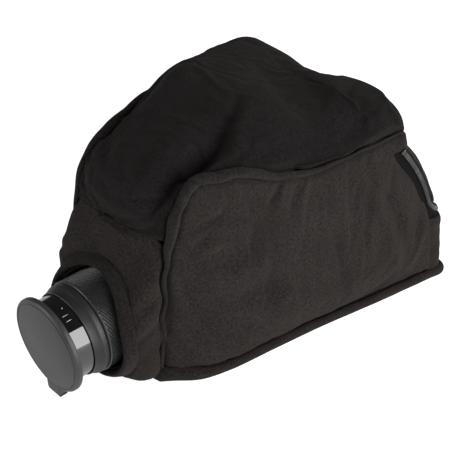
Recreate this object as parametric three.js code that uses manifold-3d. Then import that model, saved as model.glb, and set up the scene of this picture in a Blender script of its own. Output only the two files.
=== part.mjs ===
// Soft black cloth cover for a film camera: the lens looks out through an elastic cuff at
// the front, and a zipped flap at the back lets a film magazine be changed in the dark.
// Millimetres, +Z up, base on z = 0, lens pointing along -Y.
import * as THREE from 'three';
import { mergeVertices } from 'three/addons/utils/BufferGeometryUtils.js';
import Module from 'manifold-3d';

const wasm = await Module();
wasm.setup();

// ---- cloth cover ----
const CLOTH = 2.2;             // padded cloth thickness
const GAP = 0.4;               // clearance left between neighbouring pieces
const ROLL_R = 2.1;            // radius of the rolled seams
const SEAM_INSET = 2.8;        // how far each panel stops short of a rolled seam
const BASE_Z = 3;              // height of the rolled seam round the base
const FRONT_SEAM_Z = 102;      // cross seam between the front panel and the top panel
const HINGE_Y = 72;            // fold line of the rear flap
const HINGE_Z = 113;
const KINK_Y = 104;            // where the sloping rear turns down to the base
const KINK_Z = 50;
const HINGE_HALF = 80;         // half-width of the cover at the fold line
const KINK_HALF = 96;
const REAR_Y = 110;
const REAR_HALF = 100;
const REAR_BELLY = 4;          // outward swell of the rear cloth
const CORNER_R = 8;            // rounding of the rear corners
const CORNER_TURN = 1.83;      // angle turned from the rear face to the side face
const FRONT_HALF = 37.2;       // front panel
const FRONT_FOOT_Y = [-124, -122];    // depth of its edge low down, -X and +X side
const FRONT_HEAD_Y = [-117.5, -111];  // the same at the top
const FRONT_BOW = 6;           // forward bow of its top edge
const FRONT_HOLLOW = 7;        // how far it falls back above the lens port
const SIDE_BELLY = 4;          // outward swell of the side panels
const SIDE_SPAN = [0.024, 0.998];     // shares of the side patch covered by cloth, front to rear
const SIDE_RISE = [0.024, 0.966];     // and base to top
const TOP_BELLY = [8, 14, 11, 15, 24, 28, 26, 21, 17, 16];  // swell, front seam to fold line
const TOP_END = 0.1;           // share of the run over which it drops to the fold line
const NEAR_PUFF = 9;           // further swell over the rear corner on the +X side

// ---- zip round the rear flap ----
const ZIP_PAST_CORNER = 1;     // zip line beyond the rounded corner, on the side face
const ZIP_TOP_Z = 109;
const ZIP_BOTTOM_Z = 57;
const ZIP_BEND_R = 9;
const SLIDER_X = 6;            // where each slider rests on the bottom run
const COIL_IN = 0.8;           // coil edges, measured from the zip line
const COIL_OUT = 2.2;
const COIL_T = 1.2;
const COIL_LIFT = 0.1;
const TAPE_IN = 1.2;           // tape edge next to the coils
const TAPE_OUT = 4.4;
const TAPE_T = 0.7;
const TAPE_DEPTH = 0.5;        // top of the tape below the cloth face
const SKEW = 1.16;             // the zip runs down aslant, so sideways distances stretch
const PULL_PIN_Z = 5.5;        // slider pin above the cloth
const PULL_W = 3.4;
const PULL_LENGTH = 22;

// ---- lens ----
const AXIS_Z = 41;             // height of the lens axis
const CAP_R = 31;
const CAP_FRONT_Y = -172.5;
const CAP_BACK_Y = -168.4;
const TAB_W = 12.5;            // pull tab under the cap
const TAB_R = 37;
const TAB_BACK_Y = -165.4;
const BARREL_R = 26.5;
const SLEEVE_R = 28;
const RING_BORE = 28.4;
const FOCUS_R = 30.4;
const FOCUS_FRONT_Y = -147.3;
const FOCUS_BACK_Y = -118.3;
const IRIS_RING_R = 31.4;
const MOUNT_R = 33;
const CUFF_R = 37.8;
const CUFF_FRONT_Y = -141;
const CUFF_BACK_Y = -132.6;
const ROUND = 36;              // facets round the lens

// ---- camera inside ----
const BODY_HALF = 36;
const BODY_FRONT_Y = -95;
const BODY_BACK_Y = -15;
const BODY_BOTTOM_Z = 8;
const BODY_TOP_Z = 96;
const THROAT_R = 26;
const MAGAZINE_HALF = 34;
const MAGAZINE_FRONT_Y = -12.4;
const MAGAZINE_BACK_Y = 26;
const SPOOL_R = 11;
const SPOOL_Y = 8;
const FEED_Z = 27;             // heights of the two spools
const TAKEUP_Z = 77;
const KNOB_R = 11;
const BUTTON_X = 26;           // shutter button in the front face
const BUTTON_Z = 84;
const PIVOT_Y = -17;           // pivot of the magazine latch
const BUSH_Y = -55;            // tripod bush in the board

const { lerp, smoothstep } = THREE.MathUtils;
const v3 = (x, y, z) => new THREE.Vector3(x, y, z);
const X = v3(1, 0, 0);
const Y = v3(0, 1, 0);
const Z = v3(0, 0, 1);

// ---- materials ----
const material = (name, color, roughness, metalness = 0) =>
  Object.assign(new THREE.MeshStandardMaterial({ color, roughness, metalness }), { name });
const TWILL = material('twill', 0x17130f, 0.95);
const TOP_TWILL = material('top_twill', 0x0f0e0d, 0.95);
const SEAM_CLOTH = material('seam_cloth', 0x14110f, 0.95);
const ELASTIC = material('elastic', 0x0b0b0b, 0.9);
const ZIP_TAPE = material('zip_tape', 0x0a0a0a, 0.9);
const ZIP_NYLON = material('zip_nylon', 0x1c1c1d, 0.4);
const ZIP_METAL = material('zip_metal', 0x24211d, 0.35, 0.9);
const BOARD = material('board', 0x4a3526, 0.8);
const CAP_PLASTIC = material('cap_plastic', 0x2c2f33, 0.55);
const GRIP_RUBBER = material('grip_rubber', 0x111214, 0.85);
const FELT = material('felt', 0x0d0d0f, 1);
const GLOSS_BLACK = material('gloss_black', 0x060607, 0.15, 0.3);
const SATIN_GREY = material('satin_grey', 0x2b2c2f, 0.45, 0.4);
const BLACK_METAL = material('black_metal', 0x101113, 0.5, 0.6);
const LENS_GLASS = material('lens_glass', 0x1d2530, 0.05);
const BODY_SHELL = material('body_shell', 0x151515, 0.6, 0.2);
const BRIGHT_METAL = material('bright_metal', 0x9a9a98, 0.35, 1);

// ---- geometry helpers ----
const group = new THREE.Group();
group.name = 'film_changing_cover';

// Name a piece and put it in the group.
function add(name, geometry, mat) {
  const mesh = new THREE.Mesh(geometry, mat);
  mesh.name = name;
  group.add(mesh);
}

// Turn the triangles round if the closed surface faces inwards.
function facingOut(positions, triangles) {
  const [a, b, c] = [v3(), v3(), v3()];
  let volume = 0;
  for (let i = 0; i < triangles.length; i += 3) {
    a.copy(positions[triangles[i]]);
    b.copy(positions[triangles[i + 1]]);
    c.copy(positions[triangles[i + 2]]);
    volume += a.dot(b.cross(c));
  }
  if (volume < 0) triangles.reverse();
  const geometry = new THREE.BufferGeometry().setFromPoints(positions);
  geometry.setIndex(triangles);
  geometry.computeVertexNormals();
  return geometry;
}

const quad = (a, b, c, d) => [a, b, c, a, c, d];

// A piece of cloth: surface(u, v) gives its outer face, `side` says which way is out.
function sheet(surface, nu, nv, { thickness = CLOTH, side = 1, closed = false } = {}) {
  const outer = [];
  const inner = [];
  const step = 1e-3;
  for (let j = 0; j <= nv; j++) {
    for (let i = 0; i < (closed ? nu : nu + 1); i++) {
      const [u, v] = [i / nu, j / nv];
      const [u0, u1] = closed ? [u - step, u + step] : [Math.max(u - step, 0), Math.min(u + step, 1)];
      const [v0, v1] = [Math.max(v - step, 0), Math.min(v + step, 1)];
      const along = surface(u1, v).sub(surface(u0, v));
      const across = surface(u, v1).sub(surface(u, v0));
      const normal = along.cross(across).normalize().multiplyScalar(side);
      const point = surface(u, v);
      outer.push(point);
      inner.push(point.clone().addScaledVector(normal, -thickness));
    }
  }
  const columns = closed ? nu : nu + 1;
  const back = outer.length;
  const at = (i, j) => j * columns + (i % columns);
  const triangles = [];
  for (let j = 0; j < nv; j++) {
    for (let i = 0; i < nu; i++) {
      const [a, b, c, d] = [at(i, j), at(i + 1, j), at(i + 1, j + 1), at(i, j + 1)];
      triangles.push(...quad(a, b, c, d), ...quad(d + back, c + back, b + back, a + back));
    }
  }
  for (let i = 0; i < nu; i++) {
    const [a, b, c, d] = [at(i, 0), at(i + 1, 0), at(i, nv), at(i + 1, nv)];
    triangles.push(...quad(b, a, a + back, b + back), ...quad(c, d, d + back, c + back));
  }
  for (let j = 0; j < nv && !closed; j++) {
    const [a, b, c, d] = [at(0, j), at(0, j + 1), at(nu, j), at(nu, j + 1)];
    triangles.push(...quad(a, b, b + back, a + back), ...quad(d, c, c + back, d + back));
  }
  return facingOut([...outer, ...inner], triangles);
}

// Carry a convex section along a path; up(i) is the direction of the section's second axis.
function sweep(path, section, up, closed = false) {
  const positions = [];
  const n = path.length;
  const m = section.length;
  for (let i = 0; i < n; i++) {
    const before = path[closed ? (i + n - 1) % n : Math.max(i - 1, 0)];
    const after = path[closed ? (i + 1) % n : Math.min(i + 1, n - 1)];
    const tangent = after.clone().sub(before).normalize();
    const side = tangent.clone().cross(up(i)).normalize();
    const lift = side.clone().cross(tangent);
    for (const [a, b] of section) {
      positions.push(path[i].clone().addScaledVector(side, a).addScaledVector(lift, b));
    }
  }
  const triangles = [];
  for (let i = 0; i < (closed ? n : n - 1); i++) {
    for (let k = 0; k < m; k++) {
      const [p, q] = [i * m, ((i + 1) % n) * m];
      const next = (k + 1) % m;
      triangles.push(...quad(p + k, p + next, q + next, q + k));
    }
  }
  for (let k = 1; k < m - 1 && !closed; k++) {
    const last = (n - 1) * m;
    triangles.push(0, k + 1, k, last, last + k, last + k + 1);
  }
  return facingOut(positions, triangles);
}

function roundSection(r, n) {
  const step = 2 * Math.PI / n;
  return Array.from({ length: n }, (_, i) => [r * Math.cos(i * step), r * Math.sin(i * step)]);
}

// Corners of a rectangle, for a strip.
const boxSection = (a0, a1, b0, b1) => [[a0, b0], [a1, b0], [a1, b1], [a0, b1]];
const curveThrough = (points) => new THREE.CatmullRomCurve3(points, false, 'centripetal');

// Turned part on the lens axis; the profile is a list of [radius, y].
function turned(profile, segments = ROUND) {
  const points = profile.map(([r, y]) => new THREE.Vector2(r, y));
  return new THREE.LatheGeometry(points, segments).translate(0, 0, AXIS_Z);
}

function tube(outerR, innerR, y0, y1) {
  return turned([[innerR, y0], [outerR, y0], [outerR, y1], [innerR, y1], [innerR, y0]]);
}

// Put a geometry drawn in local axes onto three directions in space.
function placed(geometry, ex, ey, ez, origin) {
  return geometry.applyMatrix4(new THREE.Matrix4().makeBasis(ex, ey, ez).setPosition(origin));
}

function roundedRect(x0, x1, y0, y1, r) {
  const shape = new THREE.Shape();
  shape.moveTo(x0 + r, y0);
  shape.lineTo(x1 - r, y0);
  shape.absarc(x1 - r, y0 + r, r, -Math.PI / 2, 0);
  shape.lineTo(x1, y1 - r);
  shape.absarc(x1 - r, y1 - r, r, 0, Math.PI / 2);
  shape.lineTo(x0 + r, y1);
  shape.absarc(x0 + r, y1 - r, r, Math.PI / 2, Math.PI);
  shape.lineTo(x0, y0 + r);
  shape.absarc(x0 + r, y0 + r, r, Math.PI, Math.PI * 1.5);
  return shape;
}

// A round hole, and a round disc.
const circle = (x, y, r) => new THREE.Path().absarc(x, y, r, 0, 2 * Math.PI, true);
const round = (x, y, r) => new THREE.Shape().absarc(x, y, r, 0, 2 * Math.PI);

function extruded(shape, depth, curveSegments = 3) {
  return new THREE.ExtrudeGeometry(shape, { depth, bevelEnabled: false, curveSegments });
}

// Shapes drawn in (x, z) and pushed along Y, in (y, z) along X, and in (x, y) along Z.
const alongY = (shape, y0, y1, curve) =>
  placed(extruded(shape, y1 - y0, curve), X, Z, Y.clone().negate(), v3(0, y1, 0));
const alongX = (shape, x0, x1, curve) => placed(extruded(shape, x1 - x0, curve), Y, Z, X, v3(x0, 0, 0));
const alongZ = (shape, z0, z1, curve) => extruded(shape, z1 - z0, curve).translate(0, 0, z0);

function outline(points) {
  return new THREE.Shape(points.map(([a, b]) => new THREE.Vector2(a, b)));
}

// A ring outline with square teeth for finger grip.
function toothedOutline(cx, cy, r, depth, teeth) {
  const points = [];
  for (let i = 0; i < teeth * 4; i++) {
    const angle = (i + 0.5) * 2 * Math.PI / (teeth * 4);
    const radius = i % 4 < 2 ? r : r - depth;
    points.push([cx + radius * Math.cos(angle), cy + radius * Math.sin(angle)]);
  }
  return outline(points);
}

function box(x0, x1, y0, y1, z0, z1) {
  return new THREE.BoxGeometry(x1 - x0, y1 - y0, z1 - z0)
    .translate((x0 + x1) / 2, (y0 + y1) / 2, (z0 + z1) / 2);
}

function toManifold(geometry) {
  const bare = new THREE.BufferGeometry();
  bare.setAttribute('position', geometry.getAttribute('position'));
  bare.setIndex(geometry.getIndex());
  const welded = mergeVertices(bare, 1e-4);
  return new wasm.Manifold(new wasm.Mesh({
    numProp: 3,
    vertProperties: new Float32Array(welded.getAttribute('position').array),
    triVerts: new Uint32Array(welded.getIndex().array),
  }));
}

function joined(...geometries) {
  const mesh = wasm.Manifold.union(geometries.map(toManifold)).getMesh();
  const geometry = new THREE.BufferGeometry();
  geometry.setAttribute('position', new THREE.BufferAttribute(new Float32Array(mesh.vertProperties), 3));
  geometry.setIndex(Array.from(mesh.triVerts));
  return geometry.toNonIndexed();
}

// ---- shape of the cover ----
// Half-width of the seam between a side panel and the top panel.
const seamHalf = (y) => 41 + 36 * (y + 106) / 171;

// Half-width of the seam between a side panel and the front panel.
const frontHalf = (z) => 38.5 + 0.02 * z;

// Seam lines as [y, z]: up the front, then back along the top. The +X side sags in the middle.
const SIDES = {
  right: {
    sign: 1,
    front: [[-117, BASE_Z], [-117, 43], [-112.5, 66], [-109, 89]],
    top: [[-107, FRONT_SEAM_Z], [-101, 121], [-90, 135], [-65, 134], [-30, 122], [0, 117.5],
      [35, 121], [52, 122.5], [66, 123]],
  },
  left: {
    sign: -1,
    front: [[-119, BASE_Z], [-119, 43], [-117, 66], [-115, 89]],
    top: [[-113, FRONT_SEAM_Z], [-106, 121], [-93, 136], [-65, 141], [-30, 144], [0, 145],
      [35, 143], [50, 141], [64, 139]],
  },
};
// Index in the whole seam line where the front edge hands over to the top edge.
const CORNER = 6;

// Side of the base, from the front corner back to where the rear corner begins.
const BASE_LINE = [[38, -118], [52, -101], [60, -80], [66, -50], [74, -10], [87, 44]];

// Half-width and depth of the sharp rear corner at height z, before it is rounded.
function rearEdgeAt(z) {
  if (z > KINK_Z) {
    const t = (HINGE_Z - z) / (HINGE_Z - KINK_Z);
    return [lerp(HINGE_HALF, KINK_HALF, t), lerp(HINGE_Y, KINK_Y, t)];
  }
  const t = (KINK_Z - z) / KINK_Z;
  return [lerp(KINK_HALF, REAR_HALF, t), lerp(KINK_Y, REAR_Y, t)];
}

// Point at height z on the rear, a distance `a` from the middle, wrapping round the corner.
function rearPoint(a, z) {
  const [half, y] = rearEdgeAt(z);
  const flat = half - CORNER_R;
  const past = Math.abs(a) - flat;
  if (past <= 0) {
    const [low, high] = z > ZIP_BOTTOM_Z ? [ZIP_BOTTOM_Z, HINGE_Z] : [0, ZIP_BOTTOM_Z];
    const swell = REAR_BELLY * Math.max(Math.sin(Math.PI * (z - low) / (high - low)), 0);
    return v3(a, y + swell * (1 - (a / flat) ** 2), z);
  }
  const turn = Math.min(past / CORNER_R, CORNER_TURN);
  const beyond = past - CORNER_R * turn;
  const x = flat + CORNER_R * Math.sin(turn) + beyond * Math.cos(CORNER_TURN);
  const back = CORNER_R * (1 - Math.cos(turn)) + beyond * Math.sin(CORNER_TURN);
  return v3(Math.sign(a) * x, y - back, z);
}

function rearNormal(a, z) {
  const step = 0.01;
  const across = rearPoint(a - step, z).sub(rearPoint(a + step, z));
  const up = rearPoint(a, z + step).sub(rearPoint(a, z - step));
  return across.cross(up).normalize();
}

// How far round from the middle the zip runs up the side, at height z.
const legAt = (z) => rearEdgeAt(z)[0] + CORNER_R * (CORNER_TURN - 1) + ZIP_PAST_CORNER;
const sideStartAt = (z) => legAt(z) + (TAPE_OUT + GAP) * SKEW;

for (const side of Object.values(SIDES)) {
  const seamPoint = ([y, z]) => v3(side.sign * seamHalf(y), y, z);
  const frontPoint = ([y, z]) => v3(side.sign * frontHalf(z), y, z);
  const seam = [...side.front.map(frontPoint), ...side.top.map(seamPoint)];
  const rear = [HINGE_Z, 80, KINK_Z, 25, BASE_Z].map((z) => rearPoint(side.sign * sideStartAt(z), z));
  side.frontEdge = curveThrough(seam.slice(0, CORNER + 1));
  side.topEdge = curveThrough(seam.slice(CORNER));
  side.rearEdge = curveThrough([seam.at(-1), ...rear]);
  const base = BASE_LINE.map(([x, y]) => v3(side.sign * x, y, BASE_Z));
  const hingeEnd = v3(side.sign * HINGE_HALF, HINGE_Y, HINGE_Z);
  side.baseEdge = curveThrough([...base, rear.at(-1)]);
  side.panelSeam = curveThrough([...side.top.map(seamPoint), hingeEnd]);
  side.rollPath = curveThrough(seam);
}

// Side panel: a patch between its front, top, rear and base edges, swollen outwards.
function sidePoint(side, u, v) {
  const [base, top] = [side.baseEdge.getPointAt(u), side.topEdge.getPointAt(u)];
  const [front, rear] = [side.frontEdge.getPointAt(v), side.rearEdge.getPointAt(1 - v)];
  const corners = side.baseEdge.getPointAt(0).multiplyScalar((1 - u) * (1 - v))
    .addScaledVector(side.baseEdge.getPointAt(1), u * (1 - v))
    .addScaledVector(side.topEdge.getPointAt(0), (1 - u) * v)
    .addScaledVector(side.topEdge.getPointAt(1), u * v);
  const point = base.multiplyScalar(1 - v).addScaledVector(top, v)
    .addScaledVector(front, 1 - u).addScaledVector(rear, u).sub(corners);
  point.x += side.sign * SIDE_BELLY * Math.sin(Math.PI * u) * Math.sin(Math.PI * v);
  return point;
}

// Value of an evenly spaced list at t, 0 to 1, with straight runs between its entries.
function listAt(list, t) {
  const place = t * (list.length - 1);
  const i = Math.min(Math.floor(place), list.length - 2);
  return lerp(list[i], list[i + 1], place - i);
}

// Top panel: stretched between the two seams and swollen square to its own run.
function topPoint(s, t) {
  const [left, right] = [SIDES.left.panelSeam.getPointAt(t), SIDES.right.panelSeam.getPointAt(t)];
  const held = Math.min(t, 1 - TOP_END);
  const run = SIDES.left.panelSeam.getTangentAt(held).add(SIDES.right.panelSeam.getTangentAt(held));
  const out = v3(0, -run.z, run.y).normalize();
  const reach = 1 - SEAM_INSET * 2 / left.distanceTo(right);
  const fullness = 3 + 4 * smoothstep(t, 0.65, 0.9);
  const belly = listAt(TOP_BELLY, t) + NEAR_PUFF * smoothstep(t, 0.7, 0.9) * smoothstep(s, 0, 0.9);
  const drop = Math.min((1 - t) / TOP_END, 1) ** 0.6;
  const swell = belly * drop * (1 - Math.abs(s) ** fullness) ** 0.7;
  return left.lerp(right, 0.5 + 0.5 * s * reach).addScaledVector(out, swell);
}

// Out of the sloping rear cloth, and down it.
const SLOPE_OUT = v3(0, HINGE_Z - KINK_Z, KINK_Y - HINGE_Y).normalize();
const SLOPE_DOWN = X.clone().cross(SLOPE_OUT).negate();

// ---- cloth panels ----
function sidePanel(side) {
  const surface = (u, v) => sidePoint(side, lerp(...SIDE_SPAN, u), lerp(...SIDE_RISE, v));
  return sheet(surface, 14, 8, { side: side.sign });
}

function topPanel() {
  const surface = (u, v) => topPoint(2 * u - 1, 0.003 + 0.994 * v);
  return sheet(surface, 16, 24);
}

// Depth of the front panel's outer edge at height z; `across` runs from -1 at -X to 1 at +X.
function frontEdgeY(across, z) {
  const high = smoothstep(z, 30, FRONT_SEAM_Z);
  const left = lerp(FRONT_FOOT_Y[0], FRONT_HEAD_Y[0], high);
  const right = lerp(FRONT_FOOT_Y[1], FRONT_HEAD_Y[1], high);
  return lerp(left, right, (1 + across) / 2) - FRONT_BOW * high * (1 - across ** 2);
}

// Front panel: from the rim of the lens port back to a rounded square at the front edges.
function frontPanel() {
  const portR = CUFF_R - 0.9;
  const above = FRONT_SEAM_Z - AXIS_Z - 1.4;
  const below = AXIS_Z - BASE_Z - 0.4;
  const squareness = 9;
  const surface = (u, v) => {
    const angle = u * 2 * Math.PI;
    const [c, s] = [Math.cos(angle), Math.sin(angle)];
    const [wide, tall] = [Math.abs(c / FRONT_HALF), Math.abs(s / (s > 0 ? above : below))];
    const reach = (wide ** squareness + tall ** squareness) ** (-1 / squareness);
    const [x, z] = [reach * c, AXIS_Z + reach * s];
    const edge = v3(x, frontEdgeY(x / FRONT_HALF, z), z);
    const point = v3(portR * c, CUFF_BACK_Y + GAP, AXIS_Z + portR * s).lerp(edge, v);
    point.y += FRONT_HOLLOW * Math.max(s, 0) * Math.sin(Math.PI * v);
    return point;
  };
  return sheet(surface, 40, 4, { side: -1, closed: true });
}

// Distance round from the middle for a column at u, 0 to 1, with most columns in the corners.
function columnAt(u, flat, end) {
  const flatShare = 0.28;
  const across = 2 * u - 1;
  const share = Math.abs(across);
  const a = share < flatShare
    ? flat * share / flatShare
    : lerp(flat, end, (share - flatShare) / (1 - flatShare));
  return Math.sign(across) * a;
}

// Half-width of the flat part of the rear at height z.
const flatHalfAt = (z) => rearEdgeAt(z)[0] - CORNER_R;

// Rear panel under the zip, wrapping round both corners to meet the side panels.
function rearPanel() {
  const top = ZIP_BOTTOM_Z - TAPE_OUT - GAP;
  const surface = (u, v) => {
    const z = lerp(BASE_Z + SEAM_INSET, top, v);
    return rearPoint(columnAt(u, flatHalfAt(z), sideStartAt(z) - GAP * 2), z);
  };
  return sheet(surface, 26, 4, { side: -1 });
}

function rearFlap() {
  const bottom = ZIP_BOTTOM_Z + TAPE_OUT + GAP;
  const bendR = ZIP_BEND_R + GAP;
  const surface = (u, v) => {
    const z = lerp(HINGE_Z - GAP * 2, bottom, v);
    const below = Math.max(bendR - (z - bottom), 0);
    const cut = bendR - Math.sqrt(bendR ** 2 - below ** 2);
    return rearPoint(columnAt(u, flatHalfAt(z), legAt(z) - (TAPE_OUT + GAP) * SKEW - cut), z);
  };
  return sheet(surface, 26, 9);
}

// Three-cornered piece over each end of the zip, from the fold line up towards the seam's end.
function zipGusset(side) {
  const z = HINGE_Z + GAP;
  const foldReach = 7.5;       // how far the fold line carries on round the corner
  const from = flatHalfAt(z) + foldReach;
  const to = sideStartAt(z) - GAP * 12;
  const peak = side.rearEdge.getPointAt(0);
  const surface = (u, v) => {
    const foot = rearPoint(side.sign * lerp(from, to, u), z);
    return foot.lerp(peak, 0.6 * v);
  };
  return sheet(surface, 6, 2, { side: -side.sign });
}

// Base outline from the front corner round to the middle of the rear, then mirrored.
function baseOutline(inset) {
  const half = SIDES.right.baseEdge.getSpacedPoints(13);
  const start = sideStartAt(BASE_Z);
  const flat = flatHalfAt(BASE_Z);
  for (let i = 1; i <= 4; i++) half.push(rearPoint(lerp(start, flat, i / 4), BASE_Z));
  const loop = [...half, ...half.map((p) => v3(-p.x, p.y, p.z)).reverse()];
  return loop.map((point, i) => {
    const before = loop[(i + loop.length - 1) % loop.length];
    const after = loop[(i + 1) % loop.length];
    const along = after.clone().sub(before).normalize();
    return v3(point.x - inset * along.y, point.y + inset * along.x, BASE_Z);
  });
}

function baseWelt() {
  return sweep(baseOutline(0), roundSection(ROLL_R, 8), () => Z, true);
}

function seamRoll(side) {
  const path = side.rollPath.getSpacedPoints(44).slice(1);
  return sweep(path, roundSection(ROLL_R, 8), () => X);
}

function lensCuff() {
  const mid = (CUFF_FRONT_Y + CUFF_BACK_Y) / 2;
  return turned([[CUFF_R - 2.2, CUFF_BACK_Y], [CUFF_R - 2.6, mid], [CUFF_R - 2.8, CUFF_FRONT_Y + 0.6],
    [CUFF_R - 1.8, CUFF_FRONT_Y], [CUFF_R - 0.8, CUFF_FRONT_Y + 0.6], [CUFF_R, mid],
    [CUFF_R - 0.7, CUFF_BACK_Y], [CUFF_R - 2.2, CUFF_BACK_Y]]);
}

add('side_panel_right', sidePanel(SIDES.right), TWILL);
add('side_panel_left', sidePanel(SIDES.left), TWILL);
add('top_panel', topPanel(), TOP_TWILL);
add('front_panel', frontPanel(), TWILL);
const BASE_SHAPE = outline(baseOutline(SEAM_INSET).map((p) => [p.x, p.y]));
add('bottom_panel', alongZ(BASE_SHAPE, 0, CLOTH), TWILL);
add('rear_panel', rearPanel(), TWILL);
add('rear_flap', rearFlap(), TWILL);
add('zip_gusset_right', zipGusset(SIDES.right), TWILL);
add('zip_gusset_left', zipGusset(SIDES.left), TWILL);
add('seam_roll_right', seamRoll(SIDES.right), SEAM_CLOTH);
add('seam_roll_left', seamRoll(SIDES.left), SEAM_CLOTH);
add('base_welt', baseWelt(), SEAM_CLOTH);
add('lens_cuff', lensCuff(), SEAM_CLOTH);
add('cuff_elastic', tube(34.4, 32, -139, -135), ELASTIC);

// ---- zip ----
// Zip line as [a, z] on the rear: down one side, round a bend, across, and up the other side.
function zipLine() {
  const bendZ = ZIP_BOTTOM_Z + ZIP_BEND_R;
  const centre = legAt(bendZ) - ZIP_BEND_R;
  const half = [];
  for (const f of [0, 0.5]) {
    const z = lerp(ZIP_TOP_Z, bendZ, f);
    half.push([legAt(z), z]);
  }
  for (let i = 0; i <= 6; i++) {
    const angle = i / 6 * Math.PI / 2;
    half.push([centre + ZIP_BEND_R * Math.cos(angle), bendZ - ZIP_BEND_R * Math.sin(angle)]);
  }
  const flat = flatHalfAt(ZIP_BOTTOM_Z);
  for (const f of [0.66, 0.33, 0]) half.push([lerp(flat, centre, f), ZIP_BOTTOM_Z]);
  return [...half, ...half.map(([a, z]) => [-a, z]).reverse()];
}

const ZIP_LINE = zipLine();
const ZIP_PATH = ZIP_LINE.map(([a, z]) => rearPoint(a, z));

// A strip beside the zip line, between two distances from it; positive is towards the side panels.
const zipStrip = (from, to, bottom, top) =>
  sweep(ZIP_PATH, boxSection(from, to, bottom, top), (i) => rearNormal(...ZIP_LINE[i]));

add('zip_tape_cover', zipStrip(TAPE_IN, TAPE_OUT, -TAPE_T - TAPE_DEPTH, -TAPE_DEPTH), ZIP_TAPE);
add('zip_tape_flap', zipStrip(-TAPE_OUT, -TAPE_IN, -TAPE_T - TAPE_DEPTH, -TAPE_DEPTH), ZIP_TAPE);
add('zip_coil_cover', zipStrip(COIL_IN, COIL_OUT, COIL_LIFT, COIL_LIFT + COIL_T), ZIP_NYLON);
add('zip_coil_flap', zipStrip(-COIL_OUT, -COIL_IN, COIL_LIFT, COIL_LIFT + COIL_T), ZIP_NYLON);

// Parts on the bottom run are drawn with x down the slope, y towards -X and z out of the cloth.
const onRun = (geometry, x) =>
  placed(geometry, SLOPE_DOWN, X.clone().negate(), SLOPE_OUT, rearPoint(x, ZIP_BOTTOM_Z));

function zipSlider() {
  const plate = box(-3.6, 3.6, -4.5, 4.5, 1.7, 3.2);
  const post = box(-0.4, 0.4, -2.5, 2.5, 0.3, 2);
  const lug = (y) => box(-2, 2, y - 0.6, y + 0.6, 3, 6.8);
  const pin = new THREE.CylinderGeometry(0.7, 0.7, 6, 10).translate(0, 0, PULL_PIN_Z);
  return joined(plate, post, lug(-2.8), lug(2.8), pin);
}

// Pull tag: an eye round the slider's pin and a tongue hanging down the slope.
function zipPull() {
  const profile = new THREE.Shape();
  profile.absarc(0, 0, 1.9, 0.3, 2 * Math.PI - 0.3);
  profile.lineTo(PULL_LENGTH, -0.6);
  profile.lineTo(PULL_LENGTH, 0.6);
  profile.holes.push(circle(0, 0, 1.05));
  const tag = extruded(profile, PULL_W, 6);
  return placed(tag, X, Z, Y.clone().negate(), v3(0, PULL_W / 2, PULL_PIN_Z));
}

// Stop clamped over both coils at the top of a leg.
function zipStop(sign) {
  const z = ZIP_TOP_Z + 2;
  const foot = rearPoint(sign * legAt(z), z);
  const out = rearNormal(sign * legAt(z), z);
  const up = rearPoint(sign * legAt(z + 1), z + 1).sub(foot).normalize();
  return placed(box(-2.2, 2.2, -1.2, 1.2, COIL_LIFT, 1.5), up.clone().cross(out), up, out, foot);
}

for (const [side, sign] of [['right', 1], ['left', -1]]) {
  add('zip_slider_' + side, onRun(zipSlider(), sign * SLIDER_X), ZIP_METAL);
  add('zip_pull_' + side, onRun(zipPull(), sign * SLIDER_X), ZIP_METAL);
  add('zip_stop_' + side, zipStop(sign), ZIP_METAL);
}

// ---- lens ----
function lensCap() {
  const skirtR = 28.7;
  const disc = turned([[0, CAP_FRONT_Y], [28, CAP_FRONT_Y], [28.3, CAP_FRONT_Y + 0.4],
    [28.9, CAP_FRONT_Y + 0.4], [29.2, CAP_FRONT_Y + 0.1], [CAP_R - 0.8, CAP_FRONT_Y + 0.5],
    [CAP_R, CAP_FRONT_Y + 1.4], [CAP_R, CAP_BACK_Y], [skirtR, CAP_BACK_Y],
    [skirtR, CAP_BACK_Y - 2.4], [0, CAP_BACK_Y - 2.4]]);
  const [bottom, top] = [AXIS_Z - TAB_R, AXIS_Z - CAP_R + 0.6];
  const tab = box(-TAB_W / 2, TAB_W / 2, CAP_FRONT_Y + 0.8, TAB_BACK_Y, bottom, top);
  return joined(disc, tab);
}

function innerBarrel() {
  const bore = 24.5;
  return turned([[bore, -170.2], [28.3, -170.2], [28.3, -169], [BARREL_R, -168], [BARREL_R, -128],
    [bore, -128], [bore, -170.2]]);
}

function outerSleeve() {
  const bore = 26.8;
  return turned([[bore, -157], [27.6, -157], [28.4, -154], [29.7, -151], [29.7, -148.1],
    [SLEEVE_R, -148.1], [SLEEVE_R, -100], [bore, -100], [bore, -157]]);
}

function gripRing(r, depth, teeth, y0, y1) {
  const shape = toothedOutline(0, AXIS_Z, r, depth, teeth);
  shape.holes.push(circle(0, AXIS_Z, RING_BORE));
  return alongY(shape, y0, y1, 18);
}

// A glass element with one bulging face towards -Y.
function element(r, yFront, yBack, bulge) {
  const arc = [0, 0.35, 0.7, 1].map((f) => [r * f, yFront - bulge * (1 - f * f)]);
  return turned([...arc, [r, yBack], [0, yBack]]);
}

function tabGrip() {
  const top = AXIS_Z - TAB_R - 0.3;
  return box(-TAB_W / 2, TAB_W / 2, CAP_FRONT_Y + 0.8, TAB_BACK_Y, top - 1.2, top);
}

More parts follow.
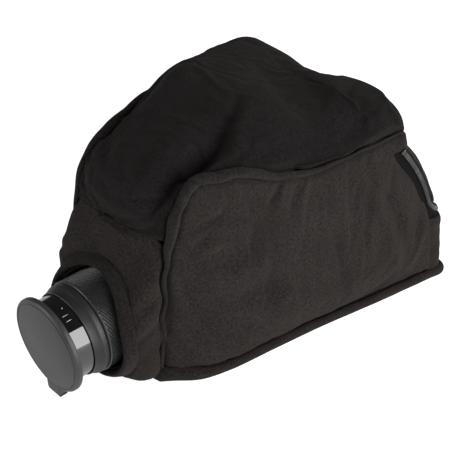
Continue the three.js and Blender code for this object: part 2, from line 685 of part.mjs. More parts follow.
add('lens_cap', lensCap(), CAP_PLASTIC);
add('cap_tab_grip', tabGrip(), GRIP_RUBBER);
add('cap_felt', turned([[0, -170.5], [23.6, -170.5], [23.6, -169.6], [0, -169.6]]), FELT);
add('inner_barrel', innerBarrel(), GLOSS_BLACK);
add('retaining_ring', tube(24.1, 22.4, -166, -163.4), BLACK_METAL);
add('front_element', element(24.1, -162.6, -158, 2.4), LENS_GLASS);
add('iris_plate', tube(24.1, 10, -140, -139), BLACK_METAL);
add('outer_sleeve', outerSleeve(), SATIN_GREY);
add('focus_ring', gripRing(FOCUS_R, 0.8, 40, FOCUS_FRONT_Y, FOCUS_BACK_Y), BLACK_METAL);
add('iris_ring', gripRing(IRIS_RING_R, 1.2, 16, -117.6, -110), BLACK_METAL);
add('mount_ring', tube(MOUNT_R, RING_BORE, -109.4, BODY_FRONT_Y - GAP), BRIGHT_METAL);
add('rear_barrel', tube(24, 21, -99.6, -76), BLACK_METAL);
add('rear_element', element(20.6, -84, -79, 2), LENS_GLASS);

// ---- camera and film magazine ----
function cameraBody() {
  const shape = roundedRect(-BODY_HALF, BODY_HALF, BODY_BOTTOM_Z, BODY_TOP_Z, 5);
  shape.holes.push(circle(0, AXIS_Z, THROAT_R), circle(BUTTON_X, BUTTON_Z, 5));
  return alongY(shape, BODY_FRONT_Y, BODY_BACK_Y, 8);
}

function finderHood() {
  const shape = outline([[-26, 96.4], [26, 96.4], [20, 126], [-20, 126]]);
  shape.holes.push(outline([[-20, 100], [20, 100], [16, 122], [-16, 122]]));
  return alongY(shape, -82, -38);
}

// Film chamber: a block with a bore for each spool, open at both ends.
function filmMagazine() {
  const shape = roundedRect(MAGAZINE_FRONT_Y, MAGAZINE_BACK_Y, 10, 94, 6);
  shape.holes.push(circle(SPOOL_Y, FEED_Z, SPOOL_R + 0.8), circle(SPOOL_Y, TAKEUP_Z, SPOOL_R + 0.8));
  return alongX(shape, -MAGAZINE_HALF, MAGAZINE_HALF, 6);
}

function spool(z) {
  const shape = round(SPOOL_Y, z, SPOOL_R);
  const [y0, y1] = [SPOOL_Y - 1, SPOOL_Y + 1];
  shape.holes.push(outline([[y0, z - 3], [y1, z - 3], [y1, z + 3], [y0, z + 3]]));
  return alongX(shape, -MAGAZINE_HALF + 1, MAGAZINE_HALF - 1, 12);
}

function darkSlide() {
  const plate = box(-32, 37, -14.1, -13.3, 14, 90);
  const handle = box(36.5, 40, -14.1, -13.3, 30, 74);
  return joined(plate, handle);
}

function magazineLatch() {
  const shape = roundedRect(-6, 6, -22, -4, 2.5);
  shape.holes.push(circle(0, PIVOT_Y, 2.6));
  return alongZ(shape, BODY_TOP_Z + GAP, BODY_TOP_Z + 3, 6);
}

function windKnob() {
  const shape = toothedOutline(-45, 60, KNOB_R, 0.8, 18);
  return alongX(shape, BODY_HALF + GAP, BODY_HALF + 12);
}

function baseBoard() {
  const shape = outline([[-36, -100], [36, -100], [84, 100], [-84, 100]]);
  shape.holes.push(circle(0, BUSH_Y, 6.4));
  return alongZ(shape, 3, 7, 10);
}

add('camera_body', cameraBody(), BODY_SHELL);
add('finder_hood', finderHood(), BODY_SHELL);
add('eyepiece', alongY(round(0, 111, 7), -37.6, -31, 12), GRIP_RUBBER);
add('shutter_button', alongY(round(BUTTON_X, BUTTON_Z, 4.5), -99, -88, 10), BRIGHT_METAL);
add('wind_knob', windKnob(), BLACK_METAL);
add('film_magazine', filmMagazine(), BODY_SHELL);
add('spool_feed', spool(FEED_Z), BLACK_METAL);
add('spool_takeup', spool(TAKEUP_Z), BLACK_METAL);
add('dark_slide', darkSlide(), BRIGHT_METAL);
add('magazine_latch', magazineLatch(), BRIGHT_METAL);
add('latch_pivot', alongZ(round(0, PIVOT_Y, 2.2), BODY_TOP_Z + 0.3, BODY_TOP_Z + 3.6, 12), BRIGHT_METAL);
add('base_board', baseBoard(), BOARD);
add('tripod_bush', alongZ(round(0, BUSH_Y, 6), 3.2, 7, 12), BRIGHT_METAL);

export default group;
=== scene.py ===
import math

import bmesh
import bpy
import numpy as np
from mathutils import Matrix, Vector


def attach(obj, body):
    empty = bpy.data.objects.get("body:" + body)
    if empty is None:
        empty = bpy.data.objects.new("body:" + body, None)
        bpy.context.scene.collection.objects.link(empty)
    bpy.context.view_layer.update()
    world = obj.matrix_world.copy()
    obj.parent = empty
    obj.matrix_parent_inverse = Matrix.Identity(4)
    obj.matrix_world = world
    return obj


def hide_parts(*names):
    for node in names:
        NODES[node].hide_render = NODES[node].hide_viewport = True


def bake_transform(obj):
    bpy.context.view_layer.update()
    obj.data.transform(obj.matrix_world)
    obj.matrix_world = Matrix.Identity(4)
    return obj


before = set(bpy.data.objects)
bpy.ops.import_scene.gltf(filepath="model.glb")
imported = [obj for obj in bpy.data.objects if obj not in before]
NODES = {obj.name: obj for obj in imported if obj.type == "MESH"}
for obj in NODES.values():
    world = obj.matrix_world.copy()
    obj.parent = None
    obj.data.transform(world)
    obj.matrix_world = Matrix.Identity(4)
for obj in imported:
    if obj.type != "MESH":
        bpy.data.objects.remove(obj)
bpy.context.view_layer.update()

# Dressed model of a fitted film changing bag: soft cloth, zip and lens over the CAD frame.
# Shapes are worked out in millimetres, with the lens pointing along -Y and +X the near side.
MM = 0.001

# ---------------------------------------------------------------- sizes, mm
RIGHT, LEFT = 1, -1
WORD = {RIGHT: "right", LEFT: "left"}
X, Y, Z = np.eye(3)

CLOTH, FLOOR_GAP = 1.7, 0.1
BASE_Z, FRONT_SEAM_Z, AXIS_Z = 3.0, 102.0, 41.0
CUFF_Y, CUFF_R = -136.2, 39.6
# The rear leans from the fold of the flap to the kink at the zip, then stands almost upright.
HINGE_Y, HINGE_Z, HINGE_HALF = 72.0, 113.0, 80.0
KINK_Y, KINK_Z, KINK_HALF = 104.0, 50.0, 96.0
REAR_Y, REAR_HALF, REAR_BELLY = 110.0, 100.0, 4.0
CORNER_R, CORNER_TURN = 8.0, 1.83
ZIP_TOP_Z, ZIP_BOTTOM_Z, ZIP_BEND_R, ZIP_PAST = 109.0, 57.0, 9.0, 1.0
TAPE_OUT = 4.6
SLIDER_X = 6.0
PIN_HEIGHT, PIN_R = 5.5, 0.75
EYE_IN, EYE_OUT, EYE_HALF = 1.1, 1.95, 1.6
BARREL_R = 26.52
KNURL_R, KNURL_DEEP, KNURL_COUNT, KNURL_RISE = 30.35, 0.7, 50, 0.57
PLAIN_AT, PLAIN_HALF = -0.72, 0.42
FLOOR_HALF = 4000


# ---------------------------------------------------------------- small maths
def lerp(a, b, t):
    return a + (b - a) * t


def smooth(x, low, high):
    """0 below low, 1 above high, with a soft step between."""
    t = np.clip((x - low) / (high - low), 0, 1)
    return t * t * (3 - 2 * t)


def bump(x, centre, width):
    """A soft hill of height 1."""
    return np.exp(-(((x - centre) / width) ** 2))


class Line:
    """A smooth line through points, read by fraction of its length."""

    def __init__(self, points, samples=500):
        p = np.array(points, float)
        knot = np.r_[0, np.cumsum(np.linalg.norm(np.diff(p, axis=0), axis=1) ** 0.5)]
        slope = np.gradient(p, knot, axis=0)
        t = np.linspace(0, knot[-1], samples)
        i = np.clip(np.searchsorted(knot, t, side="right") - 1, 0, len(p) - 2)
        h = (knot[i + 1] - knot[i])[:, None]
        s = (t - knot[i])[:, None] / h
        a = (2 * s**3 - 3 * s**2 + 1) * p[i] + (s**3 - 2 * s**2 + s) * h * slope[i]
        b = (3 * s**2 - 2 * s**3) * p[i + 1] + (s**3 - s**2) * h * slope[i + 1]
        self.points = a + b
        self.run = run_of(self.points)
        self.length = self.run[-1]

    def at(self, t):
        return read_line(self.points, self.run, np.asarray(t, float) * self.length)

    def along(self, t):
        t = np.asarray(t, float)
        d = self.at(np.minimum(t + 0.004, 1)) - self.at(np.maximum(t - 0.004, 0))
        return d / np.linalg.norm(d, axis=-1, keepdims=True)


def unit(v):
    return v / np.maximum(np.linalg.norm(v, axis=-1, keepdims=True), 1e-9)


def run_of(path):
    """Distance along a path at each of its points."""
    return np.r_[0, np.cumsum(np.linalg.norm(np.diff(path, axis=0), axis=1))]


def read_line(line, run, d):
    """Values of a line of vectors at distance d along it."""
    return np.stack([np.interp(d, run, line[:, k]) for k in range(3)], -1)


def circle(count):
    """Evenly spaced angles of one turn."""
    return np.linspace(0, 2 * math.pi, count, endpoint=False)


def around(radius, y, angle):
    """Points round the lens axis."""
    x, z = radius * np.cos(angle), AXIS_Z + radius * np.sin(angle)
    return np.stack(np.broadcast_arrays(x, y, z), -1)


def ripple(p, wavelength, seed, waves=26):
    """Smooth random waves of about unit height, one value per point."""
    rng = np.random.default_rng(seed)
    k = unit(rng.normal(size=(waves, 3))) * (2 * math.pi / wavelength)
    k *= rng.uniform(0.6, 1.6, (waves, 1))
    phase = rng.uniform(0, 2 * math.pi, waves)
    return np.cos(p @ k.T + phase).sum(-1) * math.sqrt(2 / waves)


def dense(count, edge=0.02):
    """Fractions 0 to 1, closer together at both ends."""
    fine = np.linspace(0, edge, 5)[:-1]
    return np.r_[fine, np.linspace(edge, 1 - edge, count - 8), 1 - fine[::-1]]


def grid_normals(grid, wrap=False):
    """Unit normal at every point of a grid; `wrap` joins its last column to its first."""
    if wrap:
        du = np.roll(grid, -1, 1) - np.roll(grid, 1, 1)
    else:
        du = np.gradient(grid, axis=1)
    dv = np.gradient(grid, axis=0)
    return unit(np.cross(du, dv))


def fold(x, y, path, width, depth):
    """Height of a soft fold that follows a path on the cloth and dies away at both ends."""
    path = np.array(path, float)
    best = np.full(x.shape, 1e9)
    where = np.zeros(x.shape)
    for i, (a, b) in enumerate(zip(path[:-1], path[1:])):
        d = b - a
        t = np.clip(((x - a[0]) * d[0] + (y - a[1]) * d[1]) / (d @ d), 0, 1)
        gap = np.hypot(x - a[0] - t * d[0], y - a[1] - t * d[1])
        closer = gap < best
        best = np.where(closer, gap, best)
        where = np.where(closer, (i + t) / (len(path) - 1), where)
    fade = np.sin(math.pi * np.clip(where, 0.04, 0.96)) ** 0.6
    return depth * np.exp(-((best / width) ** 2)) * fade


# ---------------------------------------------------------------- materials
def new_material(name, inputs=None):
    mat = bpy.data.materials.new(name)
    mat.use_nodes = True
    bsdf = mat.node_tree.nodes["Principled BSDF"]
    for key, value in (inputs or {}).items():
        bsdf.inputs[key].default_value = value
    return mat, mat.node_tree, bsdf


def node(tree, kind, inputs=None, **settings):
    made = tree.nodes.new(kind)
    for key, value in settings.items():
        setattr(made, key, value)
    for key, value in (inputs or {}).items():
        made.inputs[key].default_value = value
    return made


def texture(tree, place, kind, inputs, output="Fac", **settings):
    """One output of a texture that is read at `place`."""
    made = node(tree, "ShaderNodeTex" + kind, inputs, **settings)
    tree.links.new(place, made.inputs["Vector"])
    return made.outputs[output]


def grey(value):
    return (value,) * 3


def ramp(tree, source, stops):
    """Colour ramp with a (place, colour) pair for each of its two ends."""
    made = node(tree, "ShaderNodeValToRGB")
    for spot, (place, colour) in zip(made.color_ramp.elements, stops):
        spot.position = place
        spot.color = (*colour, 1)
    tree.links.new(source, made.inputs["Fac"])
    return made.outputs["Color"]


def maths(tree, operation, *values):
    made = node(tree, "ShaderNodeMath", operation=operation)
    for spot, value in zip(made.inputs, values):
        if isinstance(value, bpy.types.NodeSocket):
            tree.links.new(value, spot)
        else:
            spot.default_value = value
    return made.outputs[0]


def blend_colour(tree, factor, a, b, blend_type="MIX"):
    """Mix two colours; each input is a socket, a number or a colour."""
    made = node(tree, "ShaderNodeMix", data_type="RGBA", blend_type=blend_type)
    for spot, value in (("Factor", factor), ("A", a), ("B", b)):
        if isinstance(value, bpy.types.NodeSocket):
            tree.links.new(value, made.inputs[spot])
        else:
            made.inputs[spot].default_value = value
    return made.outputs["Result"]


def add_relief(tree, bsdf, height, strength, distance, invert=False):
    relief = node(tree, "ShaderNodeBump", {"Strength": strength, "Distance": distance}, invert=invert)
    tree.links.new(height, relief.inputs["Height"])
    tree.links.new(relief.outputs["Normal"], bsdf.inputs["Normal"])


def cloth(name, dark, light, lint=0.5, weave=0.55, sheen=0.06):
    """Brushed cotton twill; the UV map is in millimetres of cloth."""
    mat, tree, bsdf = new_material(name, {
        "Roughness": 0.92, "Specular IOR Level": 0.12, "Sheen Weight": sheen,
        "Sheen Roughness": 0.55, "Sheen Tint": (0.6, 0.53, 0.49, 1),
    })
    uv = node(tree, "ShaderNodeTexCoord").outputs["UV"]
    blotch = texture(tree, uv, "Noise", {"Scale": 0.035, "Detail": 5, "Roughness": 0.6})
    nap = texture(tree, uv, "Noise", {"Scale": 0.55, "Detail": 7, "Roughness": 0.85})
    fibre = texture(tree, uv, "Noise", {"Scale": 5.5, "Detail": 3})
    speck = texture(tree, uv, "Noise", {"Scale": 1.7, "Detail": 1})
    ribs = {"Scale": weave, "Distortion": 0.6, "Detail": 1}
    rib = texture(tree, uv, "Wave", ribs, bands_direction="DIAGONAL")
    base = ramp(tree, blotch, [(0.3, dark), (0.7, light)])
    grain = ramp(tree, nap, [(0.38, (0.22, 0.22, 0.23)), (0.62, (2.15, 2.0, 1.94))])
    fluff = ramp(tree, speck, [(0.66, grey(0)), (0.74, grey(lint))])
    colour = blend_colour(tree, 1.0, base, grain, "MULTIPLY")
    colour = blend_colour(tree, fluff, colour, (0.09, 0.085, 0.08, 1))
    tree.links.new(colour, bsdf.inputs["Base Color"])
    height = maths(tree, "MULTIPLY", rib, 0.22)
    height = maths(tree, "MULTIPLY_ADD", nap, 0.9, height)
    height = maths(tree, "MULTIPLY_ADD", fibre, 0.45, height)
    add_relief(tree, bsdf, height, 0.8, 0.0005)
    return mat


def finish(
    name, colour, roughness, metallic=0.0, grain=0.15, scale=900, coat=0.0, coat_ior=1.5, wear=0.0
):
    """Hard surface with a fine grain in its roughness and relief, and lighter worn edges."""
    mat, tree, bsdf = new_material(name, {"Metallic": metallic, "Coat Weight": coat, "Coat IOR": coat_ior})
    place = node(tree, "ShaderNodeTexCoord").outputs["Object"]
    fine = texture(tree, place, "Noise", {"Scale": scale, "Detail": 4})
    broad = texture(tree, place, "Noise", {"Scale": 60, "Detail": 5})
    low = tuple(c * 0.85 for c in colour)
    high = tuple(min(c * 1.18 + 0.002, 1) for c in colour)
    tint = ramp(tree, broad, [(0.35, low), (0.65, high)])
    if wear:
        edge = node(tree, "ShaderNodeNewGeometry").outputs["Pointiness"]
        worn = ramp(tree, edge, [(0.52, grey(0)), (0.62, grey(wear))])
        tint = blend_colour(tree, worn, tint, (0.35, 0.34, 0.33, 1))
    tree.links.new(tint, bsdf.inputs["Base Color"])
    rough = ramp(tree, broad, [(0.3, grey(roughness * 0.85)), (0.7, grey(min(roughness * 1.15, 1)))])
    tree.links.new(rough, bsdf.inputs["Roughness"])
    add_relief(tree, bsdf, fine, grain, 0.0001)
    return mat


def leatherette(name, colour):
    """Pebbled body covering."""
    mat, tree, bsdf = new_material(name, {"Roughness": 0.55})
    place = node(tree, "ShaderNodeTexCoord").outputs["Object"]
    cells = texture(tree, place, "Voronoi", {"Scale": 900}, "Distance", feature="SMOOTH_F1")
    pale = tuple(c * 1.5 for c in colour)
    tree.links.new(ramp(tree, cells, [(0.1, pale), (0.7, colour)]), bsdf.inputs["Base Color"])
    add_relief(tree, bsdf, cells, 0.7, 0.0004, invert=True)
    return mat


def wood(name):
    """Brown board with grain along the lens axis."""
    mat, tree, bsdf = new_material(name, {"Roughness": 0.7})
    place = node(tree, "ShaderNodeTexCoord").outputs["Object"]
    stretch = node(tree, "ShaderNodeMapping", {"Scale": (60, 6, 60)})
    tree.links.new(place, stretch.inputs["Vector"])
    long = stretch.outputs["Vector"]
    rings = texture(tree, long, "Noise", {"Scale": 4, "Detail": 6, "Distortion": 0.6})
    tint = ramp(tree, rings, [(0.3, (0.12, 0.07, 0.04)), (0.7, (0.3, 0.19, 0.11))])
    tree.links.new(tint, bsdf.inputs["Base Color"])
    return mat


def lens_glass(name):
    """Coated glass with a purple and green tint in its reflections."""
    mat, tree, bsdf = new_material(name, {
        "Base Color": (0.72, 0.78, 0.85, 1), "Roughness": 0.02, "IOR": 1.6,
        "Transmission Weight": 0.92, "Coat Weight": 0.6,
    })
    facing = node(tree, "ShaderNodeLayerWeight", {"Blend": 0.35}).outputs["Facing"]
    tint = ramp(tree, facing, [(0.0, (0.25, 0.2, 0.5)), (1.0, (0.1, 0.45, 0.35))])
    tree.links.new(tint, bsdf.inputs["Specular Tint"])
    return mat


TWILL = cloth("twill", (0.0115, 0.0098, 0.0090), (0.0180, 0.0158, 0.0147))
# Top panel: the same twill as the sides, painted darker and greyer as painted shade, since the top catches
# less of the low side light.
TOP_TWILL_PAINTED_SHADE = cloth("top_twill", (0.0050, 0.0047, 0.0047), (0.0092, 0.0086, 0.0086), lint=0.3)
SEAM_CLOTH = cloth("seam_cloth", (0.0092, 0.0084, 0.0080), (0.0145, 0.0134, 0.0127), lint=0.3)
ELASTIC = cloth("elastic", grey(0.008), grey(0.014), lint=0.05, weave=0.9)
TAPE = cloth("zip_tape", grey(0.003), grey(0.006), lint=0.05, weave=1.6, sheen=0.02)
THREAD = finish("thread", (0.0042, 0.0040, 0.0039), 0.9, grain=0.4)
# Zip coil: the mid-grey base colour is a painted highlight, lighter than the dark nylon, for the bright
# line of light along the teeth; the coat adds real gloss.
COIL_PAINTED_HIGHLIGHT = finish("zip_coil", (0.085, 0.085, 0.088), 0.25, grain=0.05, coat=0.6)
ZIP_METAL = finish("zip_metal", (0.03, 0.027, 0.024), 0.33, 0.9, wear=0.4)
CAP_PLASTIC = finish("cap_plastic", (0.039, 0.040, 0.041), 0.46, grain=0.5, scale=1500)
GRIP_RUBBER = finish("grip_rubber", (0.012, 0.012, 0.014), 0.75, grain=0.5)
FELT = cloth("felt", (0.008, 0.008, 0.009), (0.016, 0.016, 0.017), lint=0.1)
GLOSS = finish("gloss_black", grey(0.003), 0.07, grain=0.02, coat=1.0, coat_ior=1.8)
SATIN_GREY = finish("satin_grey", (0.022, 0.022, 0.023), 0.45, 0.2, grain=0.3, scale=1800, wear=0.1)
KNURL = finish("knurl_black", (0.033, 0.033, 0.034), 0.4, 0.35, grain=0.2, wear=0.25)
BLACK_METAL = finish("black_metal", (0.016, 0.016, 0.018), 0.38, 0.6, wear=0.2)
BRIGHT = finish("bright_metal", (0.55, 0.55, 0.54), 0.28, 1.0)
MOUNT_METAL = finish("mount_metal", grey(0.05), 0.5, 0.8)
MARK = finish("white_mark", (0.65, 0.65, 0.63), 0.5)
SHELL = leatherette("body_shell", (0.014, 0.014, 0.015))
PAINT = finish("body_paint", (0.013, 0.013, 0.014), 0.45, 0.1, grain=0.5, wear=0.25)
BOARD = wood("board")
GLASS = lens_glass("lens_glass")


# ---------------------------------------------------------------- making pieces
def mesh_object(name, verts, faces, material, uv=None, smooth_angle=None):
    """Object whose faces look outwards; verts and the uv pair of each are in millimetres."""
    mesh = bpy.data.meshes.new(name)
    mesh.from_pydata((np.asarray(verts) * MM).tolist(), [], faces)
    if uv is not None:
        layer = mesh.uv_layers.new(name="cloth_mm")
        loops = np.zeros(len(mesh.loops), np.int32)
        mesh.loops.foreach_get("vertex_index", loops)
        layer.data.foreach_set("uv", np.asarray(uv, np.float32)[loops].ravel())
    solid = bmesh.new()
    solid.from_mesh(mesh)
    if solid.calc_volume(signed=True) < 0:
        mesh.flip_normals()
    solid.free()
    mesh.materials.append(material)
    mesh.polygons.foreach_set("use_smooth", [True] * len(mesh.polygons))
    if smooth_angle:
        mesh.set_sharp_from_angle(angle=math.radians(smooth_angle))
    mesh.validate()
    obj = bpy.data.objects.new(name, mesh)
    bpy.context.scene.collection.objects.link(obj)
    return obj


def belongs(obj, body, slot, *replaced):
    """Hang the piece on the empty of the body it rides on and hide the CAD parts it stands for; the
    material slot is not used.
    """
    if replaced:
        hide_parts(*replaced)
    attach(obj, body)


def bend_with_flap(piece, replaced):
    """A soft piece on the flap: hide the CAD part it replaces and bake its placement into its mesh."""
    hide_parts(replaced)
    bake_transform(piece)


def grid_faces(rows, cols, wrap=False, closed=False, start=0, flip=False):
    """Quads of a grid; `wrap` joins the ends of each row, `closed` the last row to the first."""
    faces = []
    for j in range(rows if closed else rows - 1):
        low, high = start + j * cols, start + (j + 1) % rows * cols
        for i in range(cols if wrap else cols - 1):
            k = (i + 1) % cols
            face = [low + i, low + k, high + k, high + i]
            faces.append(face[::-1] if flip else face)
    return faces


def tube_faces(rings, sides, flip=False):
    """A tube with both ends closed."""
    near = list(range(sides))
    far = [(rings - 1) * sides + i for i in near]
    wall = grid_faces(rings, sides, wrap=True, flip=flip)
    return wall + ([near, far[::-1]] if flip else [near[::-1], far])


def cloth_sheet(name, outer, material, out=1, thickness=CLOTH, wrap=False):
    """A thick piece of cloth whose outer face is the grid; `out` is the side that faces outwards."""
    rows, cols = outer.shape[:2]
    inner = outer - grid_normals(outer, wrap) * out * thickness
    beyond = outer[:, :1] if wrap else outer[:, -1:]
    across = np.linalg.norm(np.diff(outer, axis=1, append=beyond), axis=-1)
    up = np.linalg.norm(np.diff(outer, axis=0, append=outer[-1:]), axis=-1)
    u = np.cumsum(across, 1) - across
    v = np.cumsum(up, 0) - up
    u = np.broadcast_to(np.mean(u, 0), u.shape) * 0.5 + u * 0.5
    uv = np.stack([u, v], -1).reshape(-1, 2)
    n = rows * cols
    flip = out < 0
    faces = grid_faces(rows, cols, wrap, flip=flip)
    faces += grid_faces(rows, cols, wrap, start=n, flip=not flip)
    rims = []
    last = (rows - 1) * cols
    for i in range(cols if wrap else cols - 1):
        k = (i + 1) % cols
        rims.append([k, i, n + i, n + k])
        rims.append([last + i, last + k, n + last + k, n + last + i])
    for j in range(0 if wrap else rows - 1):
        a, b = j * cols, (j + 1) * cols
        rims.append([a, b, n + b, n + a])
        rims.append([b + cols - 1, a + cols - 1, n + a + cols - 1, n + b + cols - 1])
    faces += [f[::-1] for f in rims] if flip else rims
    verts = np.concatenate([outer.reshape(-1, 3), inner.reshape(-1, 3)])
    verts[:, 2] = np.maximum(verts[:, 2], FLOOR_GAP)
    return mesh_object(name, verts, faces, material, np.concatenate([uv, uv]))


def rope(name, path, radius, material, sides=14, squash=1.0, up=(0, 0, 1), closed=False):
    """Round or flattened cord along a path; radius is one value or one per point."""
    if closed:
        tangent = unit(np.roll(path, -1, 0) - np.roll(path, 1, 0))
    else:
        tangent = unit(np.gradient(path, axis=0))
    side = unit(np.cross(tangent, np.broadcast_to(np.asarray(up, float), path.shape)))
    lift = np.cross(side, tangent)
    n = len(path)
    radius = np.broadcast_to(radius, n)
    angle = circle(sides)
    ring = side[:, None] * np.cos(angle)[:, None] + lift[:, None] * (squash * np.sin(angle))[:, None]
    verts = path[:, None] + ring * radius[:, None, None]
    uv = np.stack(np.meshgrid(angle * radius.mean(), run_of(path)), -1).reshape(-1, 2)
    if closed:
        faces = grid_faces(n, sides, wrap=True, closed=True, flip=True)
    else:
        faces = tube_faces(n, sides, flip=True)
    return mesh_object(name, verts.reshape(-1, 3), faces, material, uv, 60)


def turned(name, profile, material, segments=168, smooth_angle=35, wobble=None, lean=None):
    """Turned part on the lens axis from (radius, y) pairs; a pair on the axis closes the end."""
    profile = np.array(profile, float)
    angle = circle(segments)
    r = profile[:, :1] * (wobble(angle) if wobble else np.ones(segments))
    y = profile[:, 1:] + (lean(angle) if lean else 0)
    uv = np.stack(np.meshgrid(angle * profile[:, 0].max(), run_of(profile)), -1).reshape(-1, 2)
    faces = grid_faces(len(profile), segments, wrap=True)
    return mesh_object(name, around(r, y, angle).reshape(-1, 3), faces, material, uv, smooth_angle)


def joined(name, parts, material, smooth_angle=40):
    """One mesh from many (verts, faces) pairs."""
    verts, faces, start = [], [], 0
    for part_verts, part_faces in parts:
        verts.append(part_verts)
        faces += [[start + i for i in face] for face in part_faces]
        start += len(part_verts)
    verts = np.concatenate(verts)
    return mesh_object(name, verts, faces, material, verts[:, :2], smooth_angle)


def pill(centre, along, side, lift, length, width, height, rings=5, sides=8):
    """A rounded grain: a stitch, a zip tooth or a rivet."""
    t = np.linspace(-1, 1, rings)
    swell = np.sqrt(np.maximum(1 - t**4, 0.02))[:, None, None]
    angle = circle(sides)
    ring = side * (width * np.cos(angle))[:, None] + lift * (height * np.sin(angle))[:, None]
    verts = centre + along * (length * t)[:, None, None] + ring * swell
    return verts.reshape(-1, 3), tube_faces(rings, sides, flip=True)


def stitch_row(name, path, normals, body, pitch):
    """A row of lock stitches lying on the cloth."""
    run = run_of(path)
    stitches = []
    for d in np.arange(pitch / 2, run[-1], pitch):
        place, out = read_line(path, run, d), unit(read_line(normals, run, d))
        along = unit(read_line(path, run, d + 1) - read_line(path, run, d - 1))
        side = unit(np.cross(along, out))
        stitches.append(pill(place + out * 0.02, along, side, out, 1.05, 0.24, 0.2))
    belongs(joined(name, stitches, THREAD), body, None)


# ---------------------------------------------------------------- shape of the cover
def seam_half(y):
    """Half the width of the top between its seams."""
    return 41 + 36 * (y + 106) / 171


# Seam lines as (y, z): up the front, then back along the top.
FRONT_EDGE = {
    RIGHT: [(-117, BASE_Z), (-117, 43), (-112.5, 66), (-109, 89)],
    LEFT: [(-119, BASE_Z), (-119, 43), (-117, 66), (-115, 89)],
}
TOP_EDGE = {
    RIGHT: [
        (-107, FRONT_SEAM_Z), (-101, 121), (-90, 135), (-65, 134), (-30, 122), (0, 117.5),
        (35, 121), (52, 122.5), (66, 123),
    ],
    LEFT: [
        (-113, FRONT_SEAM_Z), (-106, 118), (-93, 131), (-65, 138), (-30, 144), (0, 145),
        (35, 143), (50, 141), (64, 139),
    ],
}
# Foot of a side as (x, y), from the front corner back to the rear one.
BASE_LINE = [(38, -118), (52, -101), (60, -80), (66, -50), (74, -10), (87, 44)]
# How far the top panel swells at even steps from its front to its rear, and more at its near rear.
TOP_BELLY = [8, 14, 11, 15, 24, 28, 26, 21, 17, 16]
TOP_END = 0.1
NEAR_PUFF = 8


def rear_edge(z):
    """Half width and y of the rear at height z."""
    z = np.asarray(z, float)
    t = (HINGE_Z - z) / (HINGE_Z - KINK_Z)
    s = (KINK_Z - z) / KINK_Z
    high = z > KINK_Z
    half = np.where(high, lerp(HINGE_HALF, KINK_HALF, t), lerp(KINK_HALF, REAR_HALF, s))
    y = np.where(high, lerp(HINGE_Y, KINK_Y, t), lerp(KINK_Y, REAR_Y, s))
    return half, y + 5 * np.sin(math.pi * np.clip((z - 60) / (HINGE_Z - 60), 0, 1))


def rear_point(a, z):
    """Point on the rear at height z, a distance `a` round from the middle."""
    a, z = np.broadcast_arrays(np.asarray(a, float), np.asarray(z, float))
    half, y = rear_edge(z)
    flat = half - CORNER_R
    past = np.abs(a) - flat
    low = np.where(z > ZIP_BOTTOM_Z, ZIP_BOTTOM_Z, 0)
    high = np.where(z > ZIP_BOTTOM_Z, HINGE_Z, ZIP_BOTTOM_Z)
    swell = REAR_BELLY * np.maximum(np.sin(math.pi * (z - low) / (high - low)), 0)
    turn = np.clip(past / CORNER_R, 0, CORNER_TURN)
    beyond = np.maximum(past - CORNER_R * CORNER_TURN, 0)
    x = flat + CORNER_R * np.sin(turn) + beyond * math.cos(CORNER_TURN)
    y_side = y - CORNER_R + CORNER_R * np.cos(turn) - beyond * math.sin(CORNER_TURN)
    inside = past <= 0
    x = np.where(inside, a, np.sign(a) * x)
    y = np.where(inside, y + swell * (1 - (a / flat) ** 2), y_side)
    return np.stack([x, y, z], -1)


def rear_normal(a, z):
    across = rear_point(a - 0.05, z) - rear_point(a + 0.05, z)
    up = rear_point(a, z + 0.05) - rear_point(a, z - 0.05)
    return unit(np.cross(across, up))


def leg_at(z):
    """Distance round from the middle of the rear to the middle of the zip."""
    return rear_edge(z)[0] + CORNER_R * (CORNER_TURN - 1) + ZIP_PAST


def side_start(z):
    """Distance round from the middle of the rear to the edge of a side panel."""
    return leg_at(z) + (TAPE_OUT + 0.2) * 1.16


def edges(side):
    """The four edges of a side panel, the seam of the top panel and the whole rolled seam."""
    front = [(side * (38.5 + 0.02 * z), y, z) for y, z in FRONT_EDGE[side]]
    top = [(side * seam_half(y), y, z) for y, z in TOP_EDGE[side]]
    line = front + top
    corner = len(front) + 2
    turn = CORNER_R * math.sqrt(0.5)
    end = (side * (HINGE_HALF - CORNER_R + turn), HINGE_Y - CORNER_R + turn, HINGE_Z)
    rear = [rear_point(side * side_start(z), z) for z in (HINGE_Z, 80, KINK_Z, 25, BASE_Z)]
    return {
        "front": Line(line[: corner + 1]),
        "top": Line(line[corner:]),
        "rear": Line([line[-1], *rear]),
        "base": Line([(side * x, y, BASE_Z) for x, y in BASE_LINE] + [rear[-1]]),
        "seam": Line(top + [end]),
        "roll": Line(line + [end]),
    }


EDGES = {RIGHT: edges(RIGHT), LEFT: edges(LEFT)}


def side_seam(side):
    """Centre line and thickness of the rolled seam: thin up the front, fat round the top corner."""
    t = np.linspace(0, 1, 260)
    path = EDGES[side]["roll"].at(t)
    corner = smooth(t, 0.25, 0.36) * (1 - smooth(t, 0.5, 0.85))
    front = 1 - smooth(t, 0.2, 0.34)
    rear = np.clip(1 - corner - front, 0, 1)
    shift = front[:, None] * [-side * 1.3, 1.3, 0] + corner[:, None] * [-side * 1.5, 0.3, -0.2]
    shift = shift + rear[:, None] * [-side * 0.8, 0, -0.9]
    radius = 1.8 * front + 3.4 * corner + 1.1 * rear
    waver = np.stack([ripple(path, 26, 61 + k) for k in range(3)], -1)
    path = path + shift + waver * ((0.3 + 0.7 * front) * np.clip(t * 12, 0, 1))[:, None]
    return path, radius * (1 + 0.06 * ripple(path, 17, 64))


